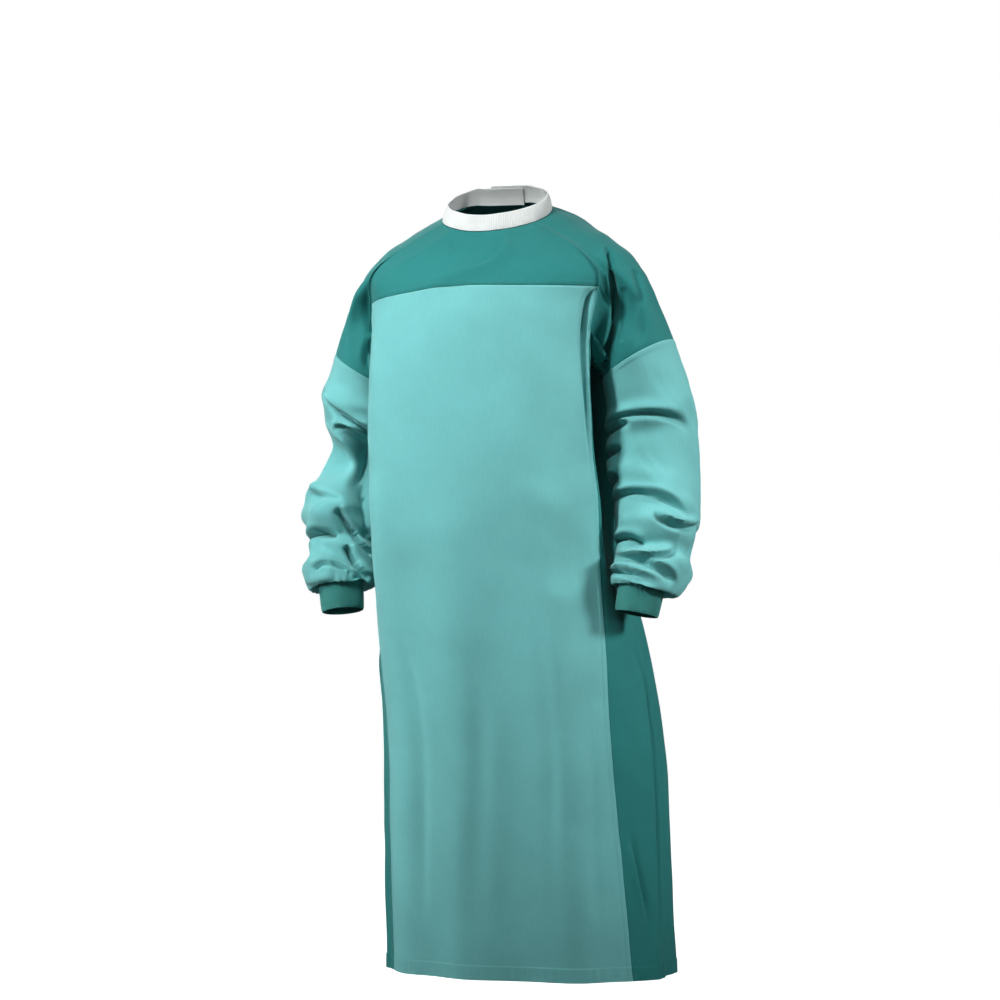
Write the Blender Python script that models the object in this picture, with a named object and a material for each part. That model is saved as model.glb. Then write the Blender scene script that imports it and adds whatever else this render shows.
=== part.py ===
"""A reusable surgical gown, worn and hollow, standing open at the neck, cuffs and hem.

Metres, +Z up. The front faces -Y and the wearer's left is +X. The origin lies between the
shoulders at the height of the neckline's sides, where the wearer carries the gown.
"""

import math
from collections import namedtuple

import bmesh
import bpy
import numpy as np

# ------------------------------------------------------------------ sizes
WALL = 0.0016
SEAM_GAP = 0.0003
ARMPIT_DROP = 0.195
ARMHOLE_DEPTH = 0.050
LEVEL_DROP = 0.290
HEM_DROP = 1.165
BACK_LAP = 0.34
LAP_STEP = 0.0022
LAP_RAMP = (3.25, 3.6)

COLLAR_HEIGHT = 0.027
COLLAR_LEAN = math.radians(20)
COLLAR_RIBS = 80
COLLAR_GAP = 0.0006
CUFF_LENGTH = 0.050
CUFF_RADIUS = 0.033
CUFF_END_RADIUS = 0.031
CUFF_RIBS = 36
RIB_HEIGHT = 0.0007
RIB_START = 0.003

# Each tie is a pair of tapes, sewn on either side of the lap's free edge and tied in a bow.
# TAPE_REST is the gap under a tape that lies on the cloth, and places count the body's nodes.
TAPE_WIDTH = 0.012
TAPE_THICKNESS = 0.0012
TAPE_REST = 0.0005
TIE_KNOT_PLACE = -3.48
TIE_EDGE_PLACE = 4.27
TIE_PANEL_PLACE = -3.22
KNOT_SIZE = (0.015, 0.009, 0.014)
KNOT_ROUNDING = 0.003
KNOT_OVERLAP = 0.015
KNOT_REST = 0.003
EDGE_TAPE_SINK = 0.0055
Tie = namedtuple("Tie", "name drop loop_length loop_fall tail_length")
TIES = (
    Tie("neck_tie", 0.024, 0.040, 38, 0.090),
    Tie("waist_tie", 0.420, 0.058, 32, 0.170),
)
# A loop opens to LOOP_GAP from LOOP_OPEN of its length onwards. The tapes of a bow leave the
# knot a little apart. A tail spreads sideways from the knot, then lies down on the cloth.
LOOP_GAP = 0.011
LOOP_OPEN = 0.4
LOOP_ROOT = 0.002
LOOP_STAGGER = 0.0004
TAIL_STAGGER = 0.001
TAIL_SPREAD, TAIL_DRIFT = 0.04, 0.05
TAIL_REST = 0.0064
FLAT_SHARE = 0.3
LYING_SHARE = 0.35

# The folds of a sleeve fade in below the colour seam and out at the gathered end.
FOLDS_START, FOLDS_END = (0, 0.03), (0.345, 0.372)

# How far apart the body's nodes are along the cloth, for the folds, and the sleeve's radius.
BODY_NODES = 8
NODE_SPREAD = 0.17
SLEEVE_RADIUS = 0.066
ARM_CENTRE = 0.007

# -------------------------------------------------- the body's cross-sections
# drop is the distance below the origin and tilt the rise for each metre backwards. The rest are
# measured from the centre line: front and corner_y forwards, side_y, rear_y and back backwards.
# seam_left and seam_right say where the front panel ends, 1 being the corner.
Section = namedtuple(
    "Section",
    "drop tilt centre front corner_x corner_y side_x side_y rear_x rear_y back seam_left seam_right",
)
SECTIONS = (
    Section(0.011, 0.37, -0.002, 0.095, 0.073, 0.047, 0.082, -0.002, 0.066, 0.041, 0.052, 1.00, 1.00),
    Section(0.034, 0.34, -0.001, 0.113, 0.118, 0.062, 0.135, 0.002, 0.105, 0.066, 0.083, 1.00, 1.00),
    Section(0.062, 0.25, 0.000, 0.131, 0.154, 0.073, 0.175, 0.004, 0.138, 0.084, 0.105, 1.00, 1.00),
    Section(0.100, 0.12, 0.001, 0.147, 0.178, 0.083, 0.195, 0.005, 0.162, 0.096, 0.125, 1.00, 1.00),
    Section(0.150, 0.04, 0.000, 0.159, 0.175, 0.091, 0.185, 0.004, 0.170, 0.102, 0.137, 1.00, 1.00),
    Section(0.210, 0.00, -0.003, 0.166, 0.170, 0.097, 0.158, 0.002, 0.168, 0.104, 0.142, 1.00, 1.00),
    Section(0.270, 0.00, -0.003, 0.169, 0.171, 0.101, 0.143, 0.002, 0.163, 0.103, 0.145, 1.00, 1.00),
    Section(0.350, 0.00, -0.001, 0.170, 0.174, 0.102, 0.139, 0.005, 0.157, 0.100, 0.146, 1.00, 1.00),
    Section(0.450, 0.00, 0.006, 0.169, 0.177, 0.102, 0.144, 0.010, 0.156, 0.102, 0.148, 1.00, 1.00),
    Section(0.550, 0.00, 0.010, 0.167, 0.178, 0.101, 0.163, 0.015, 0.154, 0.106, 0.152, 1.01, 0.98),
    Section(0.650, 0.00, 0.021, 0.166, 0.181, 0.098, 0.195, 0.010, 0.158, 0.108, 0.156, 1.03, 0.94),
    Section(0.800, 0.00, 0.039, 0.168, 0.184, 0.096, 0.208, 0.005, 0.163, 0.111, 0.161, 1.05, 0.87),
    Section(1.000, -0.02, 0.046, 0.174, 0.187, 0.095, 0.214, 0.003, 0.166, 0.114, 0.168, 1.02, 0.92),
    Section(HEM_DROP, -0.05, 0.052, 0.180, 0.188, 0.095, 0.215, 0.000, 0.166, 0.115, 0.174, 1.00, 0.97),
)

# The chest seam's drop at the wearer's right corner, the middle and the left corner.
YOKE_RIGHT, YOKE_MIDDLE, YOKE_LEFT = 0.148, 0.117, 0.125
YOKE_BEND = 1.2

# ------------------------------------------------------ the sleeve's stations
# along runs down the arm from the colour seam. x is measured from ARM_CENTRE. lean_out lifts the
# ring's outer side and lean_front its front, in degrees. The last rings turn back up inside the
# blouse and close in on the cuff, which starts below them.
Station = namedtuple("Station", "along x y drop half_width half_depth lean_out lean_front")
STATIONS = (
    Station(0.000, 0.209, 0.010, 0.238, 0.061, 0.072, 31, 0),
    Station(0.045, 0.221, 0.018, 0.288, 0.064, 0.072, 14, 0),
    Station(0.100, 0.227, 0.026, 0.345, 0.069, 0.073, 4, 0),
    Station(0.155, 0.232, 0.020, 0.400, 0.068, 0.073, 0, 4),
    Station(0.205, 0.240, 0.000, 0.447, 0.065, 0.070, 0, 12),
    Station(0.255, 0.244, -0.024, 0.492, 0.060, 0.066, 0, 18),
    Station(0.295, 0.245, -0.040, 0.528, 0.056, 0.062, -2, 18),
    Station(0.328, 0.244, -0.052, 0.556, 0.057, 0.060, -4, 16),
    Station(0.352, 0.241, -0.066, 0.576, 0.048, 0.052, -7, 14),
    Station(0.366, 0.239, -0.074, 0.585, 0.045, 0.049, -8, 12),
    Station(0.378, 0.238, -0.078, 0.568, 0.040, 0.040, -8, 10),
    Station(0.390, 0.238, -0.078, 0.568, 0.033, 0.033, -8, 10),
)
# The right sleeve starts a little lower and further out than the left one, and comes back to
# the same line over ARM_BLEND.
COLOUR_SEAM_EXTRA = {"left": 0.0, "right": 0.014}
ARM_SPREAD = {"left": 0.0, "right": 0.010}
ARM_BLEND = (0.02, 0.13)

# ------------------------------------------------------------------- folds
# A fold is a soft ridge (depth above 0) or trough (below 0) along a line. Round is a place on
# the body in nodes, or an angle on the sleeve in degrees; down is a drop or a distance along.
Fold = namedtuple("Fold", "round_a down_a round_b down_b width depth")
BODY_FOLDS = (
    Fold(-0.72, 0.45, -0.78, 1.25, 0.032, 0.007),
    Fold(-0.40, 0.60, -0.32, 1.25, 0.045, -0.006),
    Fold(0.05, 0.66, 0.02, 1.25, 0.040, -0.006),
    Fold(0.40, 0.35, 0.42, 1.25, 0.035, 0.007),
    Fold(0.78, 0.40, 0.72, 1.25, 0.026, -0.006),
    Fold(1.55, 0.72, 1.40, 1.25, 0.028, 0.008),
    Fold(2.05, 0.70, 1.95, 1.25, 0.030, -0.007),
    Fold(2.60, 0.60, 2.45, 1.25, 0.032, 0.008),
    Fold(3.05, 0.45, 3.00, 1.25, 0.034, -0.006),
    Fold(-1.60, 0.70, -1.45, 1.25, 0.028, 0.007),
    Fold(-2.15, 0.66, -2.00, 1.25, 0.030, -0.007),
    Fold(-2.65, 0.55, -2.55, 1.25, 0.032, 0.008),
    Fold(-3.10, 0.50, -3.05, 1.25, 0.034, -0.006),
    Fold(0.30, 0.035, -0.25, 0.115, 0.016, 0.004),
    Fold(-0.55, 0.030, -0.80, 0.120, 0.018, 0.003),
)
SLEEVE_FOLDS = {
    "left": (
        Fold(95, 0.105, 20, 0.090, 0.013, -0.009),
        Fold(100, 0.075, 15, 0.065, 0.018, 0.005),
        Fold(150, 0.150, 60, 0.185, 0.018, 0.006),
        Fold(130, 0.215, 55, 0.232, 0.013, -0.009),
        Fold(70, 0.205, 10, 0.235, 0.016, 0.006),
        Fold(120, 0.262, 40, 0.262, 0.014, 0.007),
        Fold(110, 0.300, -10, 0.288, 0.012, -0.010),
        Fold(120, 0.322, 20, 0.318, 0.016, 0.006),
        Fold(260, 0.095, 330, 0.120, 0.016, -0.008),
        Fold(200, 0.170, 290, 0.160, 0.016, -0.008),
        Fold(230, 0.215, 320, 0.225, 0.018, 0.007),
        Fold(210, 0.275, 300, 0.262, 0.014, -0.008),
        Fold(230, 0.315, 330, 0.322, 0.016, 0.006),
    ),
    "right": (
        Fold(10, 0.140, 110, 0.075, 0.018, 0.007),
        Fold(345, 0.035, 50, 0.048, 0.015, 0.008),
        Fold(345, 0.128, 70, 0.138, 0.028, -0.017),
        Fold(110, 0.130, 160, 0.190, 0.022, -0.009),
        Fold(30, 0.205, 100, 0.260, 0.015, -0.009),
        Fold(345, 0.226, 70, 0.242, 0.026, 0.021),
        Fold(345, 0.286, 60, 0.280, 0.012, -0.012),
        Fold(0, 0.308, 100, 0.306, 0.014, 0.004),
        Fold(60, 0.300, 130, 0.330, 0.012, -0.007),
        Fold(0, 0.326, 90, 0.335, 0.014, 0.006),
        Fold(200, 0.105, 290, 0.085, 0.016, -0.008),
        Fold(210, 0.165, 300, 0.175, 0.018, -0.009),
        Fold(230, 0.225, 330, 0.210, 0.018, 0.007),
        Fold(210, 0.270, 310, 0.278, 0.014, -0.008),
        Fold(220, 0.322, 320, 0.312, 0.016, 0.006),
    ),
}

# ---------------------------------------------------------------- mesh grids
YOKE_ROWS = 5
CHEST_ROWS = 2
ARMPIT_ROWS = 3
SKIRT_ROWS = 17
FRONT_COLUMNS = 20
SIDE_COLUMNS = 8
BACK_COLUMNS = 8
TOP_HALF_COLUMNS = 3
UPPER_SLEEVE_ROWS = 5
LOWER_SLEEVE_ROWS = 15
GATHER_START = 0.335
TAPE_STEPS = 9
NORMAL_STEP = 0.002
WAY_STEP, ARRIVE_STEP = 0.010, 0.004
SHARP_ANGLE = math.radians(50)


# ------------------------------------------------------------- smooth tables
def read_table(table, at):
    """All columns of a table on smooth curves through its rows; the first column is the key."""
    rows = np.array(table, float)
    key = rows[:, 0]
    slopes = np.gradient(rows, key, axis=0)
    at = np.asarray(at, float)
    i = np.clip(np.searchsorted(key, at) - 1, 0, len(key) - 2)
    span = (key[i + 1] - key[i])[..., None]
    t = ((at - key[i])[..., None]) / span
    start = (1 + 2 * t) * (1 - t) ** 2
    end = t**2 * (3 - 2 * t)
    leave = t * (1 - t) ** 2 * span
    arrive = t**2 * (t - 1) * span
    return rows[i] * start + rows[i + 1] * end + slopes[i] * leave + slopes[i + 1] * arrive


def loop_points(nodes, place):
    """Points of closed smooth curves. nodes is (..., count, 3); place counts nodes from the first."""
    count = nodes.shape[-2]
    after = np.linalg.norm(np.roll(nodes, -1, -2) - nodes, axis=-1)
    before = np.roll(after, 1, -1)
    slope = (np.roll(nodes, -1, -2) - nodes) / after[..., None]
    system = np.zeros(nodes.shape[:-1] + (count,))
    for i in range(count):
        system[..., i, i - 1] = before[..., i]
        system[..., i, i] = 2 * (before + after)[..., i]
        system[..., i, (i + 1) % count] = after[..., i]
    bend = np.linalg.solve(system, 6 * (slope - np.roll(slope, 1, -2)))
    whole = np.floor(place).astype(int)
    i = (whole % count)[..., None, None]
    j = ((whole + 1) % count)[..., None, None]
    t = (place - whole)[..., None]

    def pick(values, index):
        return np.take_along_axis(values, index, -2)[..., 0, :]

    span = np.take_along_axis(after, i[..., 0], -1)
    line = (1 - t) * pick(nodes, i) + t * pick(nodes, j)
    curve_a = ((1 - t) ** 3 - (1 - t)) * pick(bend, i)
    curve_b = (t**3 - t) * pick(bend, j)
    return line + span**2 / 6 * (curve_a + curve_b)


def fold_height(folds, across, down, scale, period):
    """Height of the folds at points of the flat cloth; scale turns the round columns into metres."""
    height = np.zeros(np.broadcast(across, down).shape)
    for fold in folds:
        run = np.array([(fold.round_b - fold.round_a) * scale, fold.down_b - fold.down_a])
        off = across - fold.round_a * scale
        middle = run[0] / 2
        off = (off - middle + period / 2) % period - period / 2 + middle
        fall = down - fold.down_a
        t = np.clip((off * run[0] + fall * run[1]) / (run @ run), 0, 1)
        far = (off - t * run[0]) ** 2 + (fall - t * run[1]) ** 2
        height += fold.depth * np.exp(-far / fold.width**2)
    return height


def unit(vectors):
    return vectors / np.maximum(np.linalg.norm(vectors, axis=-1, keepdims=True), 1e-12)


def ramp(value, start, end):
    t = np.clip((value - start) / (end - start), 0, 1)
    return t * t * (3 - 2 * t)


# -------------------------------------------------------------- body surface
def section_nodes(drop):
    """The eight nodes of a section: front, corner, side, rear, back, rear, side, corner."""
    row = Section(*np.moveaxis(read_table(SECTIONS, drop), -1, 0))
    x = (0, row.corner_x, row.side_x, row.rear_x, 0, -row.rear_x, -row.side_x, -row.corner_x)
    y = (-row.front, -row.corner_y, row.side_y, row.rear_y, row.back, row.rear_y, row.side_y, -row.corner_y)
    nodes = np.empty(row.drop.shape + (BODY_NODES, 3))
    for i in range(BODY_NODES):
        nodes[..., i, 0] = row.centre + x[i]
        nodes[..., i, 1] = y[i]
        nodes[..., i, 2] = row.tilt * y[i] - row.drop
    return nodes


def plain_body(place, drop):
    place, drop = np.broadcast_arrays(np.asarray(place, float), np.asarray(drop, float))
    return loop_points(section_nodes(drop), place)


def body_normal(place, drop):
    """The plain body's outward direction."""
    round_way = plain_body(place + NORMAL_STEP, drop) - plain_body(place - NORMAL_STEP, drop)
    up_way = plain_body(place, drop - NORMAL_STEP) - plain_body(place, drop + NORMAL_STEP)
    return unit(np.cross(round_way, up_way))


def lap_height(place):
    """The lapped back: the left panel lies outside and the right one inside."""
    return LAP_STEP * np.sign(place) * ramp(np.abs(place), *LAP_RAMP)


def body(place, drop):
    place, drop = np.broadcast_arrays(np.asarray(place, float), np.asarray(drop, float))
    period = BODY_NODES * NODE_SPREAD
    height = fold_height(BODY_FOLDS, place * NODE_SPREAD, drop, NODE_SPREAD, period)
    height = height + lap_height(place)
    return plain_body(place, drop) + height[..., None] * body_normal(place, drop)


def yoke_drop(place):
    """Drop of the chest seam across the front."""
    side = np.where(place < 0, YOKE_RIGHT, YOKE_LEFT)
    return YOKE_MIDDLE + (side - YOKE_MIDDLE) * np.abs(place) ** YOKE_BEND


def armhole_drop(place):
    """Drop of the armhole's lower edge, deepest under the arm at the side node."""
    from_side = np.clip(np.abs(np.abs(place) - 2), 0, 1)
    return ARMPIT_DROP + ARMHOLE_DEPTH * (1 - from_side**3)


# ---------------------------------------------------------------- row drops
NECK_DROP = SECTIONS[0].drop
SKIRT_DROPS = np.linspace(LEVEL_DROP, HEM_DROP, SKIRT_ROWS + 1)


def top_drops(place):
    """Drops from the neckline to the chest seam at a place on the front."""
    return NECK_DROP + (yoke_drop(place) - NECK_DROP) * np.linspace(0, 1, YOKE_ROWS + 1)


def chest_drops(place):
    return np.linspace(yoke_drop(place), ARMPIT_DROP, CHEST_ROWS + 1)


def raglan_drops(place):
    """The drops that the yoke, the chest and the sleeve share down a front raglan seam."""
    return np.concatenate([top_drops(place), chest_drops(place)[1:]])


REAR_DROPS = np.linspace(NECK_DROP, ARMPIT_DROP, YOKE_ROWS + CHEST_ROWS + 1)
ARMPIT_DROPS = np.linspace(ARMPIT_DROP, LEVEL_DROP, ARMPIT_ROWS + 1)


# -------------------------------------------------------------- sleeve surface
def station_frame(side, along):
    """Centre, outward and forward radii of the sleeve's rings."""
    row = Station(*np.moveaxis(read_table(STATIONS, along), -1, 0))
    way = 1 if side == "left" else -1
    upper_arm = 1 - ramp(row.along, *ARM_BLEND)
    x = ARM_CENTRE + way * (row.x + ARM_SPREAD[side] * upper_arm)
    centre = np.stack([x, row.y, -row.drop - COLOUR_SEAM_EXTRA[side] * upper_arm], -1)
    out = np.radians(row.lean_out)
    fore = np.radians(row.lean_front)
    zero = np.zeros_like(out)
    outward = np.stack([way * np.cos(out), zero, np.sin(out)], -1) * row.half_width[..., None]
    forward = np.stack([zero, -np.cos(fore), np.sin(fore)], -1) * row.half_depth[..., None]
    return centre, outward, forward


def plain_sleeve(side, angle, along):
    """Angle 0 is the outer side of the arm, 90 degrees its front and 180 the side by the body."""
    angle, along = np.broadcast_arrays(np.asarray(angle, float), np.asarray(along, float))
    centre, outward, forward = station_frame(side, along)
    turn = np.radians(angle)[..., None]
    return centre + np.cos(turn) * outward + np.sin(turn) * forward


def sleeve_normal(side, angle, along):
    step = NORMAL_STEP
    round_way = plain_sleeve(side, angle + 1, along) - plain_sleeve(side, angle - 1, along)
    down_way = plain_sleeve(side, angle, along + step) - plain_sleeve(side, angle, along - step)
    way = 1 if side == "left" else -1
    return unit(np.cross(round_way, down_way)) * way


def sleeve(side, angle, along):
    angle, along = np.broadcast_arrays(np.asarray(angle, float), np.asarray(along, float))
    scale = math.radians(1) * SLEEVE_RADIUS
    height = fold_height(SLEEVE_FOLDS[side], angle * scale, along, scale, 360 * scale)
    ease = ramp(along, *FOLDS_START) * (1 - ramp(along, *FOLDS_END))
    return plain_sleeve(side, angle, along) + (height * ease)[..., None] * sleeve_normal(side, angle, along)


# The ring angles where the neckline, the raglan seams and the underarm seam meet.
NECK_ANGLE, UNDERARM_ANGLE = 20, 122

# How the sleeve leaves the neckline and the armhole (outwards and up), and the raglan seams
# (round the body, down it and inwards). The shoulder's way turns into the seam's over
# SHOULDER_BLEND.
SHOULDER_LEAVE = (0.89, -0.46)
ARMPIT_LEAVE = (0.75, -0.65)
SEAM_LEAVE = (0.6, 0.2, 0.9)
SHOULDER_BLEND = 0.10
# How strongly the sleeve holds those ways, how much more on its outer side and off the seams.
SEAM_PULL, OUTER_PULL, SEAM_HOLD = 0.9, 0.75, 1.0


def sleeve_top_loop(side):
    """The sleeve's upper edge, from the shoulder forwards: places, drops and ring angles."""
    way = 1 if side == "left" else -1
    front = raglan_drops(way)
    under = np.linspace(1, 3, len(front))[1:-1]
    half = np.linspace(2, 1, TOP_HALF_COLUMNS + 1)
    place = np.concatenate([half, np.full(len(front) - 1, 1.0), under])
    drop = np.concatenate([np.full(len(half), NECK_DROP), front[1:], armhole_drop(under)])
    rear_drops = REAR_DROPS[::-1]
    place = np.concatenate([place, np.full(len(rear_drops), 3.0), 4 - half[::-1][1:-1]])
    drop = np.concatenate([drop, rear_drops, np.full(len(half) - 2, NECK_DROP)])
    fore = np.linspace(NECK_ANGLE, UNDERARM_ANGLE, len(front))
    angle = np.concatenate([
        np.linspace(0, NECK_ANGLE, len(half)),
        fore[1:],
        np.linspace(UNDERARM_ANGLE, 360 - UNDERARM_ANGLE, len(under) + 2)[1:-1],
        np.linspace(360 - UNDERARM_ANGLE, 360 - NECK_ANGLE, len(rear_drops)),
        np.linspace(360 - NECK_ANGLE, 360, len(half))[1:-1],
    ])
    return way * place, drop, angle


def upper_sleeve_grid(side, rows):
    """Rows of points from the neckline and raglan seams down to the colour seam."""
    place, drop, angle = sleeve_top_loop(side)
    way = 1 if side == "left" else -1
    start = body(place, drop)
    end = sleeve(side, angle, 0.0)
    toward_side = np.where(np.abs(place) > 2, -way, way)
    round_way = unit(plain_body(place + toward_side * WAY_STEP, drop) - plain_body(place, drop))
    down_way = unit(plain_body(place, drop + WAY_STEP) - plain_body(place, drop - WAY_STEP))
    round_share, down_share, sink = SEAM_LEAVE
    off_seam = round_share * round_way + down_share * down_way - sink * body_normal(place, drop)
    on_seam = np.isin(np.abs(place), (1.0, 3.0))[:, None]
    shoulder = np.array([way * SHOULDER_LEAVE[0], 0, SHOULDER_LEAVE[1]])
    armpit = np.array([way * ARMPIT_LEAVE[0], 0, ARMPIT_LEAVE[1]])
    past_neck = ramp(drop, NECK_DROP, NECK_DROP + SHOULDER_BLEND)[:, None]
    leave = np.where(on_seam, shoulder + past_neck * (unit(off_seam) - shoulder), armpit)
    leave = np.where(drop[:, None] == NECK_DROP, shoulder, leave)
    arrive = unit(plain_sleeve(side, angle, ARRIVE_STEP) - plain_sleeve(side, angle, 0.0))
    reach = np.linalg.norm(end - start, axis=1)[:, None]
    outer = np.clip(np.cos(np.radians(angle)), 0, 1) ** 2
    pull = (SEAM_PULL + OUTER_PULL * outer)[:, None]
    hold = pull + SEAM_HOLD * past_neck * on_seam
    t = np.linspace(0, 1, rows + 1)[:, None, None]
    grid = (
        (1 + 2 * t) * (1 - t) ** 2 * start
        + t**2 * (3 - 2 * t) * end
        + t * (1 - t) ** 2 * hold * reach * unit(leave)
        + t**2 * (t - 1) * pull * reach * arrive
    )
    return grid, place, drop, angle


# -------------------------------------------------------------- solid making
def inset(points, edges):
    """Pulls the edges of a grid back by half the seam gap: top, bottom, left or right."""
    moved = points.copy()
    half = SEAM_GAP / 2
    if "top" in edges:
        moved[0] += half * unit(points[1] - points[0])
    if "bottom" in edges:
        moved[-1] += half * unit(points[-2] - points[-1])
    if "left" in edges:
        moved[:, 0] += half * unit(points[:, 1] - points[:, 0])
    if "right" in edges:
        moved[:, -1] += half * unit(points[:, -2] - points[:, -1])
    return moved


def grid_normals(points, closed):
    """Outward directions of a grid whose columns run round and whose rows run down."""
    if closed:
        round_way = np.roll(points, -1, 1) - np.roll(points, 1, 1)
    else:
        round_way = np.gradient(points, axis=1)
    down_way = np.gradient(points, axis=0)
    return unit(np.cross(down_way, round_way))


def cloth_solid(name, points, normals, colour, closed=False, keep=None, raise_outer=None):
    """A wall of cloth about a grid of points. keep says which cells are cloth."""
    rows, columns = points.shape[:2]
    outer = points + normals * (WALL / 2)
    if raise_outer is not None:
        outer = outer + normals * raise_outer[..., None]
    inner = points - normals * (WALL / 2)
    count = rows * columns
    spots = np.concatenate([outer.reshape(-1, 3), inner.reshape(-1, 3)])
    triangles = []
    for r in range(rows - 1):
        for c in range(columns if closed else columns - 1):
            if keep is not None and not keep[r, c]:
                continue
            d = (c + 1) % columns
            a, b = r * columns + c, r * columns + d
            e, f = a + columns, b + columns
            if np.linalg.norm(spots[a] - spots[f]) <= np.linalg.norm(spots[b] - spots[e]):
                triangles += [(a, e, f), (a, f, b)]
            else:
                triangles += [(a, e, b), (b, e, f)]
    edges = {(t[i], t[(i + 1) % 3]) for t in triangles for i in range(3)}
    faces = list(triangles)
    faces += [(a + count, f + count, e + count) for a, e, f in triangles]
    for a, b in sorted(edges):
        if (b, a) not in edges:
            faces += [(b, a, a + count), (b, a + count, b + count)]
    used = sorted({i for face in faces for i in face})
    renumber = {old: new for new, old in enumerate(used)}
    mesh = bpy.data.meshes.new(name)
    mesh.from_pydata(spots[used].tolist(), [], [[renumber[i] for i in face] for face in faces])
    mesh.validate()
    mesh.shade_smooth()
    mesh.set_sharp_from_angle(angle=SHARP_ANGLE)
    piece = bpy.data.objects.new(name, mesh)
    bpy.context.scene.collection.objects.link(piece)
    mesh.materials.append(cloth_material(name, colour))


# --------------------------------------------------------------------- finish
LIGHT_GREEN = (0.165, 0.520, 0.500, 1.0)
DARK_GREEN = (0.040, 0.270, 0.245, 1.0)
RIB_GREEN = (0.045, 0.255, 0.225, 1.0)
WHITE = (0.850, 0.860, 0.850, 1.0)


def cloth_material(name, colour):
    material = bpy.data.materials.new(name)
    material.use_nodes = True
    shader = material.node_tree.nodes["Principled BSDF"]
    shader.inputs["Base Color"].default_value = colour
    shader.inputs["Roughness"].default_value = 0.8
    shader.inputs["Metallic"].default_value = 0.0
    return material


# --------------------------------------------------------------------- pieces
def build_yoke():
    place = np.linspace(-1, 1, FRONT_COLUMNS + 1)
    drop = np.stack([top_drops(p) for p in place], 1)
    points = inset(body(place, drop), ("top", "bottom", "left", "right"))
    cloth_solid("yoke_front", points, body_normal(place, drop), DARK_GREEN)


def front_places(drop, columns):
    """Places across the front panel, from the right side seam to the left one."""
    row = Section(*np.moveaxis(read_table(SECTIONS, drop), -1, 0))
    t = np.linspace(0, 1, columns + 1)
    return -row.seam_left[:, None] + (row.seam_left + row.seam_right)[:, None] * t


def build_front():
    straight = np.concatenate([ARMPIT_DROPS[1:], SKIRT_DROPS[1:]])
    place = np.linspace(-1, 1, FRONT_COLUMNS + 1)
    chest = np.stack([chest_drops(p) for p in place], 1)
    places = np.concatenate([
        np.tile(place, (len(chest), 1)),
        front_places(straight, FRONT_COLUMNS),
    ])
    drops = np.concatenate([chest, np.tile(straight[:, None], (1, FRONT_COLUMNS + 1))])
    points = inset(body(places, drops), ("top", "left", "right"))
    cloth_solid("front_panel", points, body_normal(places, drops), LIGHT_GREEN)


def back_grid(side):
    """Places and drops of a back panel, which wraps from the side seam to past the centre back."""
    row_drops = np.concatenate([REAR_DROPS[:-1], ARMPIT_DROPS[:-1], SKIRT_DROPS])
    top_rows = len(REAR_DROPS) - 1
    row = Section(*np.moveaxis(read_table(SECTIONS, row_drops), -1, 0))
    seam = row.seam_right if side == "left" else row.seam_left
    t = np.linspace(0, 1, SIDE_COLUMNS + 1)
    wrap = seam[:, None] + (3 - seam)[:, None] * t
    behind = np.linspace(3, 4 + BACK_LAP, BACK_COLUMNS + 1)[1:]
    places = np.concatenate([wrap, np.tile(behind, (len(row_drops), 1))], 1)
    drops = np.tile(row_drops[:, None], (1, places.shape[1]))
    for r in range(top_rows, top_rows + ARMPIT_ROWS):
        share = (r - top_rows) / ARMPIT_ROWS
        dip = armhole_drop(places[r]) - ARMPIT_DROP
        drops[r] += np.where(places[r] < 3, dip * (1 - share), 0)
    keep = np.ones((len(row_drops) - 1, places.shape[1] - 1), bool)
    keep[:top_rows, :SIDE_COLUMNS] = False
    return places, drops, keep, top_rows


def build_back(side):
    places, drops, keep, top_rows = back_grid(side)
    way = 1 if side == "left" else -1
    points = body(way * places, drops)
    normals = body_normal(way * places, drops)
    half = SEAM_GAP / 2
    moved = inset(points, ("top", "left"))
    moved[top_rows, : SIDE_COLUMNS + 1] += half * unit(
        points[top_rows + 1, : SIDE_COLUMNS + 1] - points[top_rows, : SIDE_COLUMNS + 1]
    )
    rear = slice(0, top_rows + 1)
    moved[rear, SIDE_COLUMNS] += half * unit(points[rear, SIDE_COLUMNS + 1] - points[rear, SIDE_COLUMNS])
    if way < 0:
        moved, normals, keep = moved[:, ::-1], normals[:, ::-1], keep[:, ::-1]
    cloth_solid(f"back_{side}", moved, normals, DARK_GREEN, keep=keep)


def build_upper_sleeve(side):
    grid, place, drop, angle = upper_sleeve_grid(side, UPPER_SLEEVE_ROWS)
    if side == "left":
        grid, place, drop, angle = (grid[:, ::-1], place[::-1], drop[::-1], angle[::-1])
    normals = grid_normals(grid, True)
    normals[0] = body_normal(place, drop)
    normals[-1] = sleeve_normal(side, angle, 0.0)
    points = inset(grid, ("top", "bottom"))
    cloth_solid(f"sleeve_upper_{side}", points, normals, DARK_GREEN, closed=True)


def build_lower_sleeve(side):
    angle = sleeve_top_loop(side)[2]
    if side == "left":
        angle = angle[::-1]
    even = np.linspace(0, GATHER_START, LOWER_SLEEVE_ROWS + 1)
    gathered = [station.along for station in STATIONS if station.along > GATHER_START]
    points = sleeve(side, angle, np.concatenate([even, gathered])[:, None])
    normals = grid_normals(points, True)
    normals[0] = sleeve_normal(side, angle, 0.0)
    normals[-1] = cuff_axis(side)
    cloth_solid(f"sleeve_lower_{side}", inset(points, ("top", "bottom")), normals, LIGHT_GREEN, closed=True)


def ribbed(rows, columns):
    """Extra height of the outer points: every other column is raised, below a plain edge row."""
    raised = np.zeros((rows, columns))
    raised[1:, ::2] = RIB_HEIGHT
    return raised


def cuff_axis(side):
    """The way down the forearm at the sleeve's gathered end."""
    _, outward, forward = station_frame(side, np.array(STATIONS[-1].along))
    axis = unit(np.cross(outward, forward))
    return axis * -np.sign(axis[2])


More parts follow.
